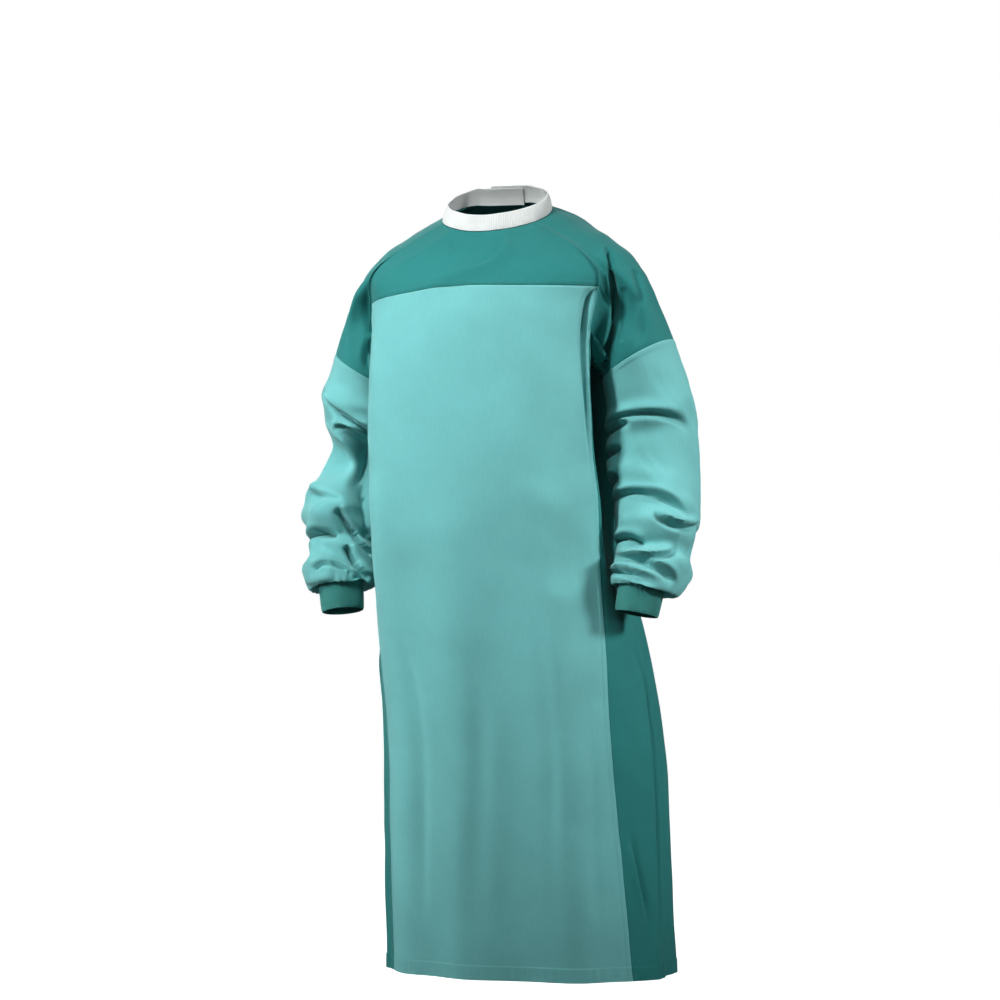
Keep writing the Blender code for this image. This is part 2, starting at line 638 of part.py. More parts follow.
def build_cuff(side):
    """A knit tube from the sleeve's gathered end along the forearm."""
    centre, outward, forward = station_frame(side, np.array(STATIONS[-1].along))
    axis = cuff_axis(side)
    turn = np.linspace(0, 2 * math.pi, 2 * CUFF_RIBS, endpoint=False)[None, :, None]
    reach = np.array([0, RIB_START, CUFF_LENGTH])
    radius = np.array([CUFF_RADIUS, CUFF_RADIUS, CUFF_END_RADIUS])[:, None, None]
    ring = np.cos(turn) * unit(outward) + np.sin(turn) * unit(forward)
    if side == "left":
        ring = ring[:, ::-1]
    start = centre + axis * (WALL / 2 + SEAM_GAP)
    points = start + axis * reach[:, None, None] + radius * ring
    normals = np.broadcast_to(ring, points.shape)
    raised = ribbed(len(reach), 2 * CUFF_RIBS)
    cloth_solid(f"cuff_{side}", points, normals, RIB_GREEN, closed=True, raise_outer=raised)


def neck_edge(place):
    """The neckline along the straight edges of the cut pieces: points and outward directions."""
    half = [
        np.linspace(0, 1, FRONT_COLUMNS // 2 + 1)[:-1],
        np.linspace(1, 3, 2 * TOP_HALF_COLUMNS + 1)[:-1],
        np.linspace(3, 4 + BACK_LAP, BACK_COLUMNS + 1),
    ]
    half = np.concatenate(half)
    knots = np.concatenate([-half[:0:-1], half])
    edge = body(knots, NECK_DROP)
    out = body_normal(knots, NECK_DROP)
    foot = np.stack([np.interp(place, knots, edge[:, i]) for i in range(3)], -1)
    turned = np.stack([np.interp(place, knots, out[:, i]) for i in range(3)], -1)
    return foot, unit(turned)


def build_collar():
    """A knit band that stands on the neckline and laps at the back."""
    end = 4 + BACK_LAP
    place = np.linspace(-end, end, 2 * COLLAR_RIBS + 1)
    foot, first = neck_edge(place)
    smooth = body(place, NECK_DROP)
    flat = unit(first * np.array([1, 1, 0]))
    rise = math.cos(COLLAR_LEAN) * np.array([0, 0, 1]) - math.sin(COLLAR_LEAN) * flat
    reach = np.array([COLLAR_HEIGHT, RIB_START, 0])[:, None, None]
    points = np.stack([smooth, smooth, foot]) + rise * (reach + COLLAR_GAP - SEAM_GAP / 2)
    upright = unit(np.cross(np.gradient(smooth, axis=0), rise))
    normals = np.stack([upright, upright, first])
    raised = ribbed(3, len(place))[::-1]
    cloth_solid("collar", points, normals, WHITE, raise_outer=raised)


def ribbon(name, path, across):
    """A flat tape along a path, TAPE_WIDTH wide in the direction across."""
    path = np.array(path)
    across = np.broadcast_to(across, path.shape)
    along = unit(np.gradient(path, axis=0))
    across = unit(across - np.sum(across * along, -1, keepdims=True) * along)
    thick = np.cross(along, across) * TAPE_THICKNESS / 2
    wide = across * TAPE_WIDTH / 2
    corners = [path + wide + thick, path - wide + thick, path - wide - thick, path + wide - thick]
    corners = np.stack(corners, 1)
    last = 4 * (len(path) - 1)
    faces = [(3, 2, 1, 0), (last, last + 1, last + 2, last + 3)]
    for i in range(len(path) - 1):
        for k in range(4):
            a, b = 4 * i + k, 4 * i + (k + 1) % 4
            faces.append((a, b, b + 4, a + 4))
    return small_solid(name, corners.reshape(-1, 3), faces)


def small_solid(name, corners, faces):
    """A closed mesh with its faces turned outwards."""
    mesh = bpy.data.meshes.new(name)
    mesh.from_pydata(np.asarray(corners).tolist(), [], faces)
    outward = bmesh.new()
    outward.from_mesh(mesh)
    bmesh.ops.recalc_face_normals(outward, faces=outward.faces)
    outward.to_mesh(mesh)
    outward.free()
    solid = bpy.data.objects.new(name, mesh)
    bpy.context.scene.collection.objects.link(solid)
    return solid


def back_facets(place, drop):
    """Points on the back panel's own flat facets, between the rows and columns of its mesh."""
    rows = np.concatenate([REAR_DROPS[:-1], ARMPIT_DROPS[:-1], SKIRT_DROPS])
    i = np.searchsorted(rows, drop) - 1
    down = (drop - rows[i]) / (rows[i + 1] - rows[i])
    edges = np.linspace(3, 4 + BACK_LAP, BACK_COLUMNS + 1)
    j = np.clip(np.searchsorted(edges, np.abs(place)) - 1, 0, BACK_COLUMNS - 1)
    across = ((np.abs(place) - edges[j]) / (edges[j + 1] - edges[j]))[:, None]
    near = np.sign(place) * edges[j]
    far = np.sign(place) * edges[j + 1]
    upper = body(near, rows[i]) * (1 - across) + body(far, rows[i]) * across
    lower = body(near, rows[i + 1]) * (1 - across) + body(far, rows[i + 1]) * across
    return upper * (1 - down) + lower * down


# The knot's centre, its lift off the cloth, and its ways out, up and sideways.
Knot = namedtuple("Knot", "centre rise out up way")


def tie_knot(tie):
    out = body_normal(TIE_KNOT_PLACE, tie.drop)
    rise = LAP_STEP + KNOT_SIZE[1] / 2 + KNOT_REST
    up = unit(np.array([0, 0, 1]) - out[2] * out)
    return Knot(body(TIE_KNOT_PLACE, tie.drop) + out * rise, rise, out, up, np.cross(up, out))


def sewn_tape(tie, knot, start, knot_place, sink):
    """A tape from where it is sewn on, flat on the cloth, up into the knot."""
    end = knot_place + math.copysign(KNOT_OVERLAP, knot_place - start)
    t = np.linspace(0, 1, TAPE_STEPS)
    place = start + (end - start) * t
    rest = WALL / 2 + TAPE_REST + TAPE_THICKNESS / 2
    height = rest + (knot.rise - sink - rest) * ramp(t, FLAT_SHARE, 1.0)
    path = back_facets(place, tie.drop) + height[:, None] * body_normal(place, tie.drop)
    return ribbon(f"{tie.name}_end", path, knot.up)


def bow_loop(tie, knot, turn):
    """A loop of the bow, to one side: out along one leg, round its end and back along the other."""
    fall = math.radians(tie.loop_fall)
    reach = math.cos(fall) * turn * knot.way - math.sin(fall) * knot.up
    half_turn = np.linspace(0, math.pi, TAPE_STEPS)
    bend = LOOP_GAP / 2
    end = tie.loop_length - bend + bend * np.sin(half_turn)
    leg = LOOP_OPEN * tie.loop_length
    far = np.concatenate([[-LOOP_ROOT, leg], end, [leg, LOOP_ROOT / 2]])
    lift = np.concatenate([[-LOOP_ROOT, -bend], -bend * np.cos(half_turn), [bend, LOOP_ROOT]])
    lift = lift + LOOP_ROOT + turn * LOOP_STAGGER
    path = knot.centre + far[:, None] * reach + lift[:, None] * knot.out
    return ribbon(f"{tie.name}_loop", path, np.cross(reach, knot.out))


def bow_tail(tie, knot, turn):
    """A loose end, to one side: it spreads from the knot and lies down on the cloth below."""
    t = np.linspace(0, 1, TAPE_STEPS)
    place = TIE_KNOT_PLACE + turn * (TAIL_SPREAD * ramp(t, 0, FLAT_SHARE) + TAIL_DRIFT * t)
    drop = tie.drop - TAIL_STAGGER * (2 + turn) + tie.tail_length * t
    rest = WALL / 2 + TAPE_REST + TAPE_THICKNESS / 2 + TAIL_REST
    height = knot.rise + (rest - knot.rise) * ramp(t, 0, LYING_SHARE)
    path = body(place, drop) + height[:, None] * body_normal(place, drop)
    return ribbon(f"{tie.name}_tail", path, knot.way)


def build_tie(tie):
    knot = tie_knot(tie)
    tapes = [
        sewn_tape(tie, knot, TIE_EDGE_PLACE, TIE_KNOT_PLACE + BODY_NODES, EDGE_TAPE_SINK),
        sewn_tape(tie, knot, TIE_PANEL_PLACE, TIE_KNOT_PLACE, 0),
    ]
    for turn in (-1, 1):
        tapes.append(bow_loop(tie, knot, turn))
        tapes.append(bow_tail(tie, knot, turn))
    corners = [(x, y, z) for x in (-1, 1) for y in (-1, 1) for z in (-1, 1)]
    half = np.array(KNOT_SIZE) / 2
    axes = np.array([knot.way * half[0], knot.out * half[1], knot.up * half[2]])
    faces = [(0, 1, 3, 2), (4, 6, 7, 5), (0, 4, 5, 1), (2, 3, 7, 6), (0, 2, 6, 4), (1, 5, 7, 3)]
    bow = small_solid(tie.name, knot.centre + np.array(corners) @ axes, faces)
    bow.data.materials.append(cloth_material(tie.name, DARK_GREEN))
    rounding = bow.modifiers.new("rounding", "BEVEL")
    rounding.width = KNOT_ROUNDING
    rounding.segments = 2
    for tape in tapes:
        tape.hide_render = True
        tape.display_type = "WIRE"
        join = bow.modifiers.new("join", "BOOLEAN")
        join.operation = "UNION"
        join.object = tape


def clear_scene():
    for old in list(bpy.data.objects):
        bpy.data.objects.remove(old, do_unlink=True)


def build_gown():
    clear_scene()
    build_yoke()
    build_front()
    build_collar()
    for side in ("left", "right"):
        build_back(side)
        build_upper_sleeve(side)
        build_lower_sleeve(side)
        build_cuff(side)
    for tie in TIES:
        build_tie(tie)


build_gown()
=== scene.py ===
"""The looks of a surgical gown: woven and knitted cloth, creases, seams, hems and tapes.

Metres, +Z up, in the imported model's frame. The front faces -Y and the wearer's left is +X.
"""

import math
from collections import namedtuple

import bpy
import numpy as np
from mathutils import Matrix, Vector


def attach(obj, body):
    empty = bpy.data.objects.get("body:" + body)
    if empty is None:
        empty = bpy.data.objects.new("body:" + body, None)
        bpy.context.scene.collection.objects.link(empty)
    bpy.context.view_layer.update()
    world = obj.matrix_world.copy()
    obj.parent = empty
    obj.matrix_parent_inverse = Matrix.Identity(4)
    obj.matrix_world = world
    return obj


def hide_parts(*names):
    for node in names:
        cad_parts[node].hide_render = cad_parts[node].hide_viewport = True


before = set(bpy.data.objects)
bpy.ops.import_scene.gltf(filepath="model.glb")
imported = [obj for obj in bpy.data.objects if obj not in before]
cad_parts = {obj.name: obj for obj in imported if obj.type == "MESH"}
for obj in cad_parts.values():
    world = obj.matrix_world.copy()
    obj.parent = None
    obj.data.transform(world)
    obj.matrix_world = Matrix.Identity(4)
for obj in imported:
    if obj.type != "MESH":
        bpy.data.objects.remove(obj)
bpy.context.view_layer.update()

# --------------------------------------------------------------------- camera
VIEW_AZIMUTH = math.radians(17)
VIEW_DISTANCE = 4.75
VIEW_TARGET = Vector((0.0, 0.0, -0.449))
METRES_ACROSS = 1.53
SENSOR = 36

# ------------------------------------------------------------ the gown's sizes
CLOTH = 0.0008
SEAM_GAP = 0.0003
ARMPIT_DROP = 0.195
ARMHOLE_DEPTH = 0.050
LEVEL_DROP = 0.290
BACK_LAP = 0.34
LAP_STEP = 0.0022
LAP_RAMP = (3.25, 3.6)
NODE_SPREAD = 0.17
SLEEVE_RADIUS = 0.066
ARM_CENTRE = 0.007
YOKE_RIGHT, YOKE_MIDDLE, YOKE_LEFT = 0.148, 0.117, 0.125
YOKE_CURVE = 1.2
NORMAL_STEP = 0.002

COLLAR_HEIGHT = 0.027
COLLAR_LEAN = math.radians(20)
COLLAR_RIBS = 220
COLLAR_GAP = 0.0006
CUFF_LENGTH = 0.050
CUFF_RADIUS = 0.033
CUFF_END_RADIUS = 0.031
CUFF_RIBS = 88
KNIT = 0.0018
RIB_HEIGHT = 0.00055

WAY = {"left": 1, "right": -1}

# The tables of shapes are written in thousandths of a metre, a node or a share, and in degrees.
# Their parts say how many of a column's units make one.
THOUSANDTHS = (1000,) * 13
STATION_PARTS = (1000,) * 6 + (1, 1)
SLEEVE_FOLD_PARTS = (1, 1000, 1, 1000, 1000, 1000)
SLEEVE_CREASE_PARTS = (1, 1000) * 3 + (1000,) * 3


def table(kind, parts, rows):
    """The rows of a table of shapes, in metres, nodes and degrees."""
    return tuple(kind(*(value / part for value, part in zip(row, parts))) for row in rows)


# The body's cross-sections. drop is the distance below the origin and tilt the rise for each
# metre backwards. The rest are measured from the centre line: front and corner_y forwards,
# side_y, rear_y and back backwards. seam_left and seam_right say where the front panel ends.
Section = namedtuple(
    "Section",
    "drop tilt centre front corner_x corner_y side_x side_y rear_x rear_y back seam_left seam_right",
)
SECTIONS = table(Section, THOUSANDTHS, (
    (11, 370, -2, 95, 73, 47, 82, -2, 66, 41, 52, 1000, 1000),
    (34, 340, -1, 113, 118, 62, 135, 2, 105, 66, 83, 1000, 1000),
    (62, 250, 0, 131, 154, 73, 175, 4, 138, 84, 105, 1000, 1000),
    (100, 120, 1, 147, 178, 83, 195, 5, 162, 96, 125, 1000, 1000),
    (150, 40, 0, 159, 175, 91, 185, 4, 170, 102, 137, 1000, 1000),
    (210, 0, -3, 166, 170, 97, 158, 2, 168, 104, 142, 1000, 1000),
    (270, 0, -3, 169, 171, 101, 143, 2, 163, 103, 145, 1000, 1000),
    (350, 0, -1, 170, 174, 102, 139, 5, 157, 100, 146, 1000, 1000),
    (450, 0, 6, 169, 177, 102, 144, 10, 156, 102, 148, 1000, 1000),
    (550, 0, 10, 167, 178, 101, 163, 15, 154, 106, 152, 1010, 980),
    (650, 0, 21, 166, 181, 98, 195, 10, 158, 108, 156, 1030, 940),
    (800, 0, 39, 168, 184, 96, 208, 5, 163, 111, 161, 1050, 870),
    (1000, -20, 46, 174, 187, 95, 214, 3, 166, 114, 168, 1020, 920),
    (1165, -50, 52, 180, 188, 95, 215, 0, 166, 115, 174, 1000, 970),
))
NECK_DROP, HEM_DROP = SECTIONS[0].drop, SECTIONS[-1].drop

# The sleeve's rings. along runs down the arm from the colour seam, x is measured from
# ARM_CENTRE, lean_out lifts the ring's outer side and lean_front its front, in degrees.
Station = namedtuple("Station", "along x y drop half_width half_depth lean_out lean_front")
STATIONS = table(Station, STATION_PARTS, (
    (0, 209, 10, 238, 61, 72, 31, 0),
    (45, 221, 18, 288, 64, 72, 14, 0),
    (100, 227, 26, 345, 69, 73, 4, 0),
    (155, 232, 20, 400, 68, 73, 0, 4),
    (205, 240, 0, 447, 65, 70, 0, 12),
    (255, 244, -24, 492, 60, 66, 0, 18),
    (295, 245, -40, 528, 56, 62, -2, 18),
    (328, 244, -52, 556, 57, 60, -4, 16),
    (350, 241, -64, 573, 55, 58, -7, 14),
    (364, 239, -72, 584, 49, 52, -8, 12),
    (378, 238, -77, 579, 40, 41, -8, 10),
    (390, 238, -78, 568, 33, 33, -8, 10),
))
COLOUR_SEAM_EXTRA = {"left": 0.0, "right": 0.014}
ARM_SPREAD = {"left": 0.0, "right": 0.010}
UPPER_ARM = (0.02, 0.13)
FOLDS_START, FOLDS_END = (0, 0.03), (0.362, 0.386)

# Soft folds: a ridge (depth above 0) or trough (below 0) along a line. Round is a place on the
# body in nodes, or an angle on the sleeve in degrees; down is a drop or a distance along.
Fold = namedtuple("Fold", "round_a down_a round_b down_b width depth")
BODY_FOLDS = table(Fold, THOUSANDTHS, (
    (-720, 450, -780, 1250, 32, 7),
    (-500, 560, -500, 1250, 38, -6),
    (-200, 500, -220, 1250, 36, 3),
    (-200, 640, -220, 1250, 36, 4),
    (150, 490, 160, 1250, 45, -3),
    (150, 620, 160, 1250, 45, -5),
    (500, 460, 520, 1250, 36, 4),
    (500, 600, 520, 1250, 36, 7),
    (800, 400, 780, 1250, 26, -4),
    (1550, 720, 1400, 1250, 28, 8),
    (2050, 700, 1950, 1250, 30, -7),
    (2600, 600, 2450, 1250, 32, 8),
    (3050, 450, 3000, 1250, 34, -6),
    (-1600, 700, -1450, 1250, 28, 7),
    (-2150, 660, -2000, 1250, 30, -7),
    (-2650, 550, -2550, 1250, 32, 8),
    (-3100, 500, -3050, 1250, 34, -6),
    (300, 35, -250, 115, 16, 4),
    (-550, 30, -800, 120, 18, 3),
))
SLEEVE_FOLDS = {
    "left": table(Fold, SLEEVE_FOLD_PARTS, (
        (95, 105, 20, 90, 13, -2),
        (100, 75, 15, 65, 18, 5),
        (150, 150, 60, 185, 18, 6),
        (130, 215, 55, 232, 13, -4),
        (70, 205, 10, 235, 16, 6),
        (120, 262, 40, 262, 14, 7),
        (110, 300, -10, 288, 12, -10),
        (120, 322, 20, 318, 16, 6),
        (260, 95, 330, 120, 16, -8),
        (200, 170, 290, 160, 16, -8),
        (230, 215, 320, 225, 18, 7),
        (210, 275, 300, 262, 14, -8),
        (230, 315, 330, 322, 16, 6),
    )),
    "right": table(Fold, SLEEVE_FOLD_PARTS, (
        (10, 140, 110, 75, 18, 7),
        (345, 35, 50, 48, 15, 8),
        (345, 140, 60, 146, 27, -26),
        (112, 126, 132, 236, 28, -30),
        (-42, 122, 42, 126, 25, -20),
        (-30, 196, 36, 200, 18, 14),
        (76, 100, 106, 122, 11, -8),
        (30, 205, 100, 260, 15, -9),
        (345, 226, 70, 242, 26, 21),
        (345, 286, 60, 280, 12, -12),
        (-34, 232, 30, 238, 20, 8),
        (-30, 306, 30, 308, 14, -5),
        (-30, 40, 20, 44, 14, 6),
        (60, 300, 130, 330, 12, -7),
        (0, 326, 90, 335, 14, 6),
        (200, 105, 290, 85, 16, -8),
        (210, 165, 300, 175, 18, -9),
        (230, 225, 330, 210, 18, 7),
        (210, 270, 310, 278, 14, -8),
        (220, 322, 320, 312, 16, 6),
    )),
}

# Creases: a curve from a through b to c. Cloth stands up by rise on the curve's upper side, over
# spread, and drops into a narrow trough of depth cut on its lower side.
Crease = namedtuple("Crease", "a_round a_down b_round b_down c_round c_down rise spread cut")
SLEEVE_CREASES = {
    "left": table(Crease, SLEEVE_CREASE_PARTS, (
        (12, 100, 88, 71, 172, 86, 6, 11, 10),
        (100, 80, 138, 88, 186, 102, 6, 12, 15),
        (118, 128, 142, 126, 190, 146, 6, 14, 13),
        (128, 172, 154, 176, 200, 196, 7, 14, 14),
        (22, 250, 98, 206, 178, 222, 8, 10, 11),
        (-14, 238, 42, 262, 80, 246, 12, 11, 13),
        (84, 300, 122, 284, 182, 284, 9, 10, 14),
        (26, 286, 81, 318, 156, 308, 10, 12, 11),
        (20, 350, 66, 330, 116, 322, 9, 11, 12),
        (52, 356, 108, 344, 184, 338, 9, 9, 13),
        (30, 376, 96, 364, 150, 360, 5, 8, 6),
        (200, 60, 255, 72, 320, 55, 6, 18, 7),
        (215, 128, 260, 140, 335, 118, 8, 18, 9),
        (190, 196, 240, 182, 300, 198, 8, 16, 10),
        (225, 240, 285, 252, 345, 238, 9, 14, 10),
        (195, 292, 250, 284, 320, 298, 9, 14, 10),
        (210, 336, 270, 330, 335, 338, 7, 12, 8),
    )),
    "right": table(Crease, SLEEVE_CREASE_PARTS, (
        (26, 38, 88, 68, 130, 116, 10, 16, 11),
        (62, 100, 80, 85, 122, 120, 6, 10, 9),
        (102, 206, 90, 134, 62, 94, 8, 18, 8),
        (6, 192, 66, 214, 106, 232, 6, 16, 6),
        (10, 352, 60, 362, 110, 358, 5, 9, 5),
        (195, 70, 250, 56, 325, 70, 6, 18, 7),
        (205, 132, 265, 124, 330, 140, 8, 18, 9),
        (190, 180, 250, 196, 310, 182, 8, 16, 10),
        (215, 246, 275, 236, 340, 250, 9, 14, 10),
        (195, 288, 250, 298, 320, 286, 9, 14, 10),
        (205, 334, 270, 340, 330, 332, 7, 12, 8),
    )),
}
# On the upper sleeve, down is the share of the way from the neckline to the colour seam.
UPPER_LENGTH = 0.15
UPPER_CREASES = {
    "left": table(Crease, SLEEVE_CREASE_PARTS, (
        (330, 400, 300, 660, 285, 920, 4, 20, 4),
        (300, 350, 270, 600, 238, 850, 4, 14, 7),
    )),
    "right": table(Crease, SLEEVE_CREASE_PARTS, (
        (48, 250, 80, 600, 124, 960, 5, 14, 11),
        (10, 500, 40, 700, 64, 920, 3, 22, 3),
        (332, 440, 305, 700, 292, 940, 4, 20, 4),
        (300, 350, 270, 600, 238, 850, 4, 14, 7),
    )),
}
# Folds that follow points in space on the cloth. On each the cloth stands up by rise to the left
# of the way along it, seen from outside, and drops by cut to the right.
FoldLine = namedtuple("FoldLine", "rise spread cut points")


def fold_line(rise, spread, cut, points):
    """A fold line in metres, from millimetres and points in tenths of a millimetre."""
    return FoldLine(rise / 1000, spread / 1000, cut / 1000, np.array(points) / 10000)


SHOULDER_FOLDS = (
    fold_line(5, 9, 17, (
        (1700, -440, -2750), (1800, -580, -2283), (1877, -600, -2072),
        (1909, -551, -1839), (1905, -448, -1640), (1895, -429, -1429),
        (1880, -484, -1235), (1856, -526, -1046), (1815, -432, -858),
        (1733, -166, -653),
    )),
    fold_line(2, 18, 5.5, (
        (2315, -580, -2250), (2286, -433, -1505), (2150, -200, -1000),
    )),
    fold_line(0, 12, 3, (
        (2030, -600, -2150), (2035, -490, -1860), (2040, -450, -1640),
        (2040, -430, -1300),
    )),
)
SLEEVE_LINES = {
    "left": (),
    "right": (
        fold_line(6, 11, 16, (
            (-2300, -900, -4600), (-2240, -900, -4690), (-2160, -844, -4823),
            (-2065, -746, -4980), (-1940, -757, -5110), (-1850, -700, -5210),
            (-1790, -600, -5300),
        )),
        fold_line(7, 11, 20, (
            (-3010, -300, -5120), (-2908, -566, -5040), (-2764, -763, -4950),
            (-2636, -800, -4940), (-2456, -846, -4970), (-2310, -860, -5040),
        )),
        fold_line(4, 10, 9, (
            (-2640, -1120, -5520), (-2589, -1147, -5470), (-2471, -1157, -5400),
            (-2336, -1182, -5410), (-2193, -1121, -5460), (-2030, -1070, -5540),
        )),
        fold_line(6, 11, 17, (
            (-2110, -950, -5160), (-2075, -948, -5240), (-2020, -917, -5350),
            (-1900, -933, -5480), (-1810, -878, -5590), (-1760, -800, -5660),
        )),
        fold_line(3, 9, 10, (
            (-2050, -1100, -5530), (-1985, -1070, -5600), (-1913, -1007, -5685),
            (-1869, -858, -5752),
        )),
        fold_line(0, 18, 10, (
            (-1960, -450, -4400), (-1930, -493, -4567), (-1880, -550, -4672),
            (-1845, -597, -4793), (-1836, -574, -4947), (-1850, -500, -5050),
        )),
    ),
}
BODY_CREASES = table(Crease, THOUSANDTHS, (
    (955, 128, 955, 210, 985, 440, 3, 16, 10),
    (-620, 600, -520, 840, -580, 1140, 4, 24, 3),
    (460, 550, 440, 840, 420, 1140, 3, 24, 3),
    (30, 660, -60, 900, -80, 1140, 1, 30, 5),
    (740, 700, 720, 920, 740, 1120, 1, 20, 4),
    (1260, 1090, 1100, 1006, 950, 940, 6, 18, 5),
    (-970, 400, -985, 270, -990, 170, 3, 12, 5),
    (360, 10, 200, 52, -100, 88, 3, 16, 2),
    (-200, 42, -310, 34, -420, 24, 3, 10, 2),
    (1640, 640, 1660, 860, 1600, 1160, 4, 22, 13),
    (-3600, 100, -3200, 170, -3050, 260, 4, 20, 4),
    (3020, 300, 3300, 190, 3700, 110, 4, 20, 4),
    (2700, 340, 3100, 420, 3600, 460, 4, 22, 4),
    (-2700, 300, -2950, 400, -3300, 470, 4, 22, 4),
))

NECK_ANGLE, UNDERARM_ANGLE = 20, 122
SHOULDER_LEAVE = (0.89, -0.46)
ARMPIT_LEAVE = (0.75, -0.65)
SEAM_LEAVE = (0.6, 0.2, 0.9)
SHOULDER_BLEND = 0.10
LEAVE_STEP, ARRIVE_STEP = 0.01, 0.004
SEAM_PULL, OUTER_PULL, SEAM_HOLD = 0.9, 0.75, 1.0

# ------------------------------------------------------------ the fine meshes
YOKE_ROWS, CHEST_ROWS, ARMPIT_ROWS, SKIRT_ROWS = 40, 20, 26, 132
FRONT_COLUMNS, SIDE_COLUMNS, BACK_COLUMNS = 130, 62, 52
NECK_HALF_COLUMNS, RAGLAN_COLUMNS, REAR_COLUMNS, UNDERARM_COLUMNS = 12, 100, 50, 60
UPPER_SLEEVE_ROWS = {"left": 80, "right": 58}
SLEEVE_COLUMNS, SLEEVE_ROWS = 190, 168


# ------------------------------------------------------------- smooth tables
def read_table(table, at):
    """All columns of a table on smooth curves through its rows; the first column is the key."""
    rows = np.array(table, float)
    key = rows[:, 0]
    slopes = np.gradient(rows, key, axis=0)
    at = np.asarray(at, float)
    i = np.clip(np.searchsorted(key, at) - 1, 0, len(key) - 2)
    span = (key[i + 1] - key[i])[..., None]
    t = ((at - key[i])[..., None]) / span
    start = (1 + 2 * t) * (1 - t) ** 2
    end = t**2 * (3 - 2 * t)
    leave = t * (1 - t) ** 2 * span
    arrive = t**2 * (t - 1) * span
    return rows[i] * start + rows[i + 1] * end + slopes[i] * leave + slopes[i + 1] * arrive


def loop_points(nodes, place):
    """Points of closed smooth curves. nodes is (..., count, 3); place counts nodes from the first."""
    count = nodes.shape[-2]
    after = np.linalg.norm(np.roll(nodes, -1, -2) - nodes, axis=-1)
    before = np.roll(after, 1, -1)
    slope = (np.roll(nodes, -1, -2) - nodes) / after[..., None]
    system = np.zeros(nodes.shape[:-1] + (count,))
    for i in range(count):
        system[..., i, i - 1] = before[..., i]
        system[..., i, i] = 2 * (before + after)[..., i]
        system[..., i, (i + 1) % count] = after[..., i]
    bend = np.linalg.solve(system, 6 * (slope - np.roll(slope, 1, -2)))
    whole = np.floor(place).astype(int)
    i = (whole % count)[..., None, None]
    j = ((whole + 1) % count)[..., None, None]
    t = (place - whole)[..., None]

    def pick(values, index):
        return np.take_along_axis(values, index, -2)[..., 0, :]

    span = np.take_along_axis(after, i[..., 0], -1)
    line = (1 - t) * pick(nodes, i) + t * pick(nodes, j)
    curve_a = ((1 - t) ** 3 - (1 - t)) * pick(bend, i)
    curve_b = (t**3 - t) * pick(bend, j)
    return line + span**2 / 6 * (curve_a + curve_b)


def unit(vectors):
    return vectors / np.maximum(np.linalg.norm(vectors, axis=-1, keepdims=True), 1e-12)


def ramp(value, start, end):
    t = np.clip((value - start) / (end - start), 0, 1)
    return t * t * (3 - 2 * t)


def fold_height(folds, across, down, scale, period):
    """Height of the folds at points of the flat cloth; scale turns the round columns into metres."""
    height = np.zeros(np.broadcast(across, down).shape)
    for fold in folds:
        run = np.array([(fold.round_b - fold.round_a) * scale, fold.down_b - fold.down_a])
        off = across - fold.round_a * scale
        middle = run[0] / 2
        off = (off - middle + period / 2) % period - period / 2 + middle
        fall = down - fold.down_a
        t = np.clip((off * run[0] + fall * run[1]) / (run @ run), 0, 1)
        far = (off - t * run[0]) ** 2 + (fall - t * run[1]) ** 2
        height += fold.depth * np.exp(-far / fold.width**2)
    return height


CREASE_STEPS = 14
CREASE_FADE = 0.3
EDGE_SHARE, TROUGH_SHARE = 0.33, 0.5


def flat_runs(path, x, y):
    """For each run of a flat path: the share along it, the distance from it and on which side."""
    for start, end in zip(path[:-1], path[1:]):
        run = end - start
        off_x, off_y = x - start[0], y - start[1]
        t = np.clip((off_x * run[0] + off_y * run[1]) / (run @ run), 0, 1)
        far = np.hypot(off_x - t * run[0], off_y - t * run[1])
        yield t, far, np.sign(run[1] * off_x - run[0] * off_y)


def space_runs(path, points, normals):
    """The same for a path in space, seen from outside the cloth."""
    for start, end in zip(path[:-1], path[1:]):
        run = end - start
        off = points - start
        t = np.clip(off @ run / (run @ run), 0, 1)
        gap = off - t[..., None] * run
        side = np.sign(np.sum(np.cross(run, gap) * normals, -1))
        yield t, np.linalg.norm(gap, axis=-1), side


def broken_ridge(fold, runs, count, shape, fading):
    """A ridge on one side of a path that breaks off into a narrow trough on the other side."""
    nearest, signed, share = np.full(shape, np.inf), np.zeros(shape), np.zeros(shape)
    for i, (t, far, side) in enumerate(runs):
        closer = far < nearest
        nearest = np.where(closer, far, nearest)
        signed = np.where(closer, far * side, signed)
        share = np.where(closer, (i + t) / count, share)
    fade = ramp(share, 0, fading) * (1 - ramp(share, 1 - fading, 1))
    edge = EDGE_SHARE * fold.spread
    ridge = np.exp(-((np.maximum(signed, 0) / fold.spread) ** 2)) * ramp(signed, -edge, edge)
    trough = np.exp(-(((signed + edge) / (TROUGH_SHARE * fold.spread)) ** 2))
    return fade * (fold.rise * ridge - fold.cut * trough)


def crease_height(creases, across, down, scale, period, down_scale=1.0):
    """Height of the creases at points of the flat cloth."""
    across, down = np.broadcast_arrays(across, down)
    height = np.zeros(across.shape)
    t = np.linspace(0, 1, CREASE_STEPS + 1)[:, None]
    size = np.array([scale, down_scale])
    for crease in creases:
        a, b, c = (np.array(crease[i : i + 2]) * size for i in (0, 2, 4))
        control = 2 * b - (a + c) / 2
        path = (1 - t) ** 2 * a + 2 * t * (1 - t) * control + t**2 * c
        middle = path[:, 0].mean()
        off = (across - middle + period / 2) % period - period / 2 + middle
        runs = flat_runs(path, off, down * down_scale)
        height += broken_ridge(crease, runs, CREASE_STEPS, height.shape, CREASE_FADE)
    return height


LINE_FADE, LINE_PASSES = 0.16, 2


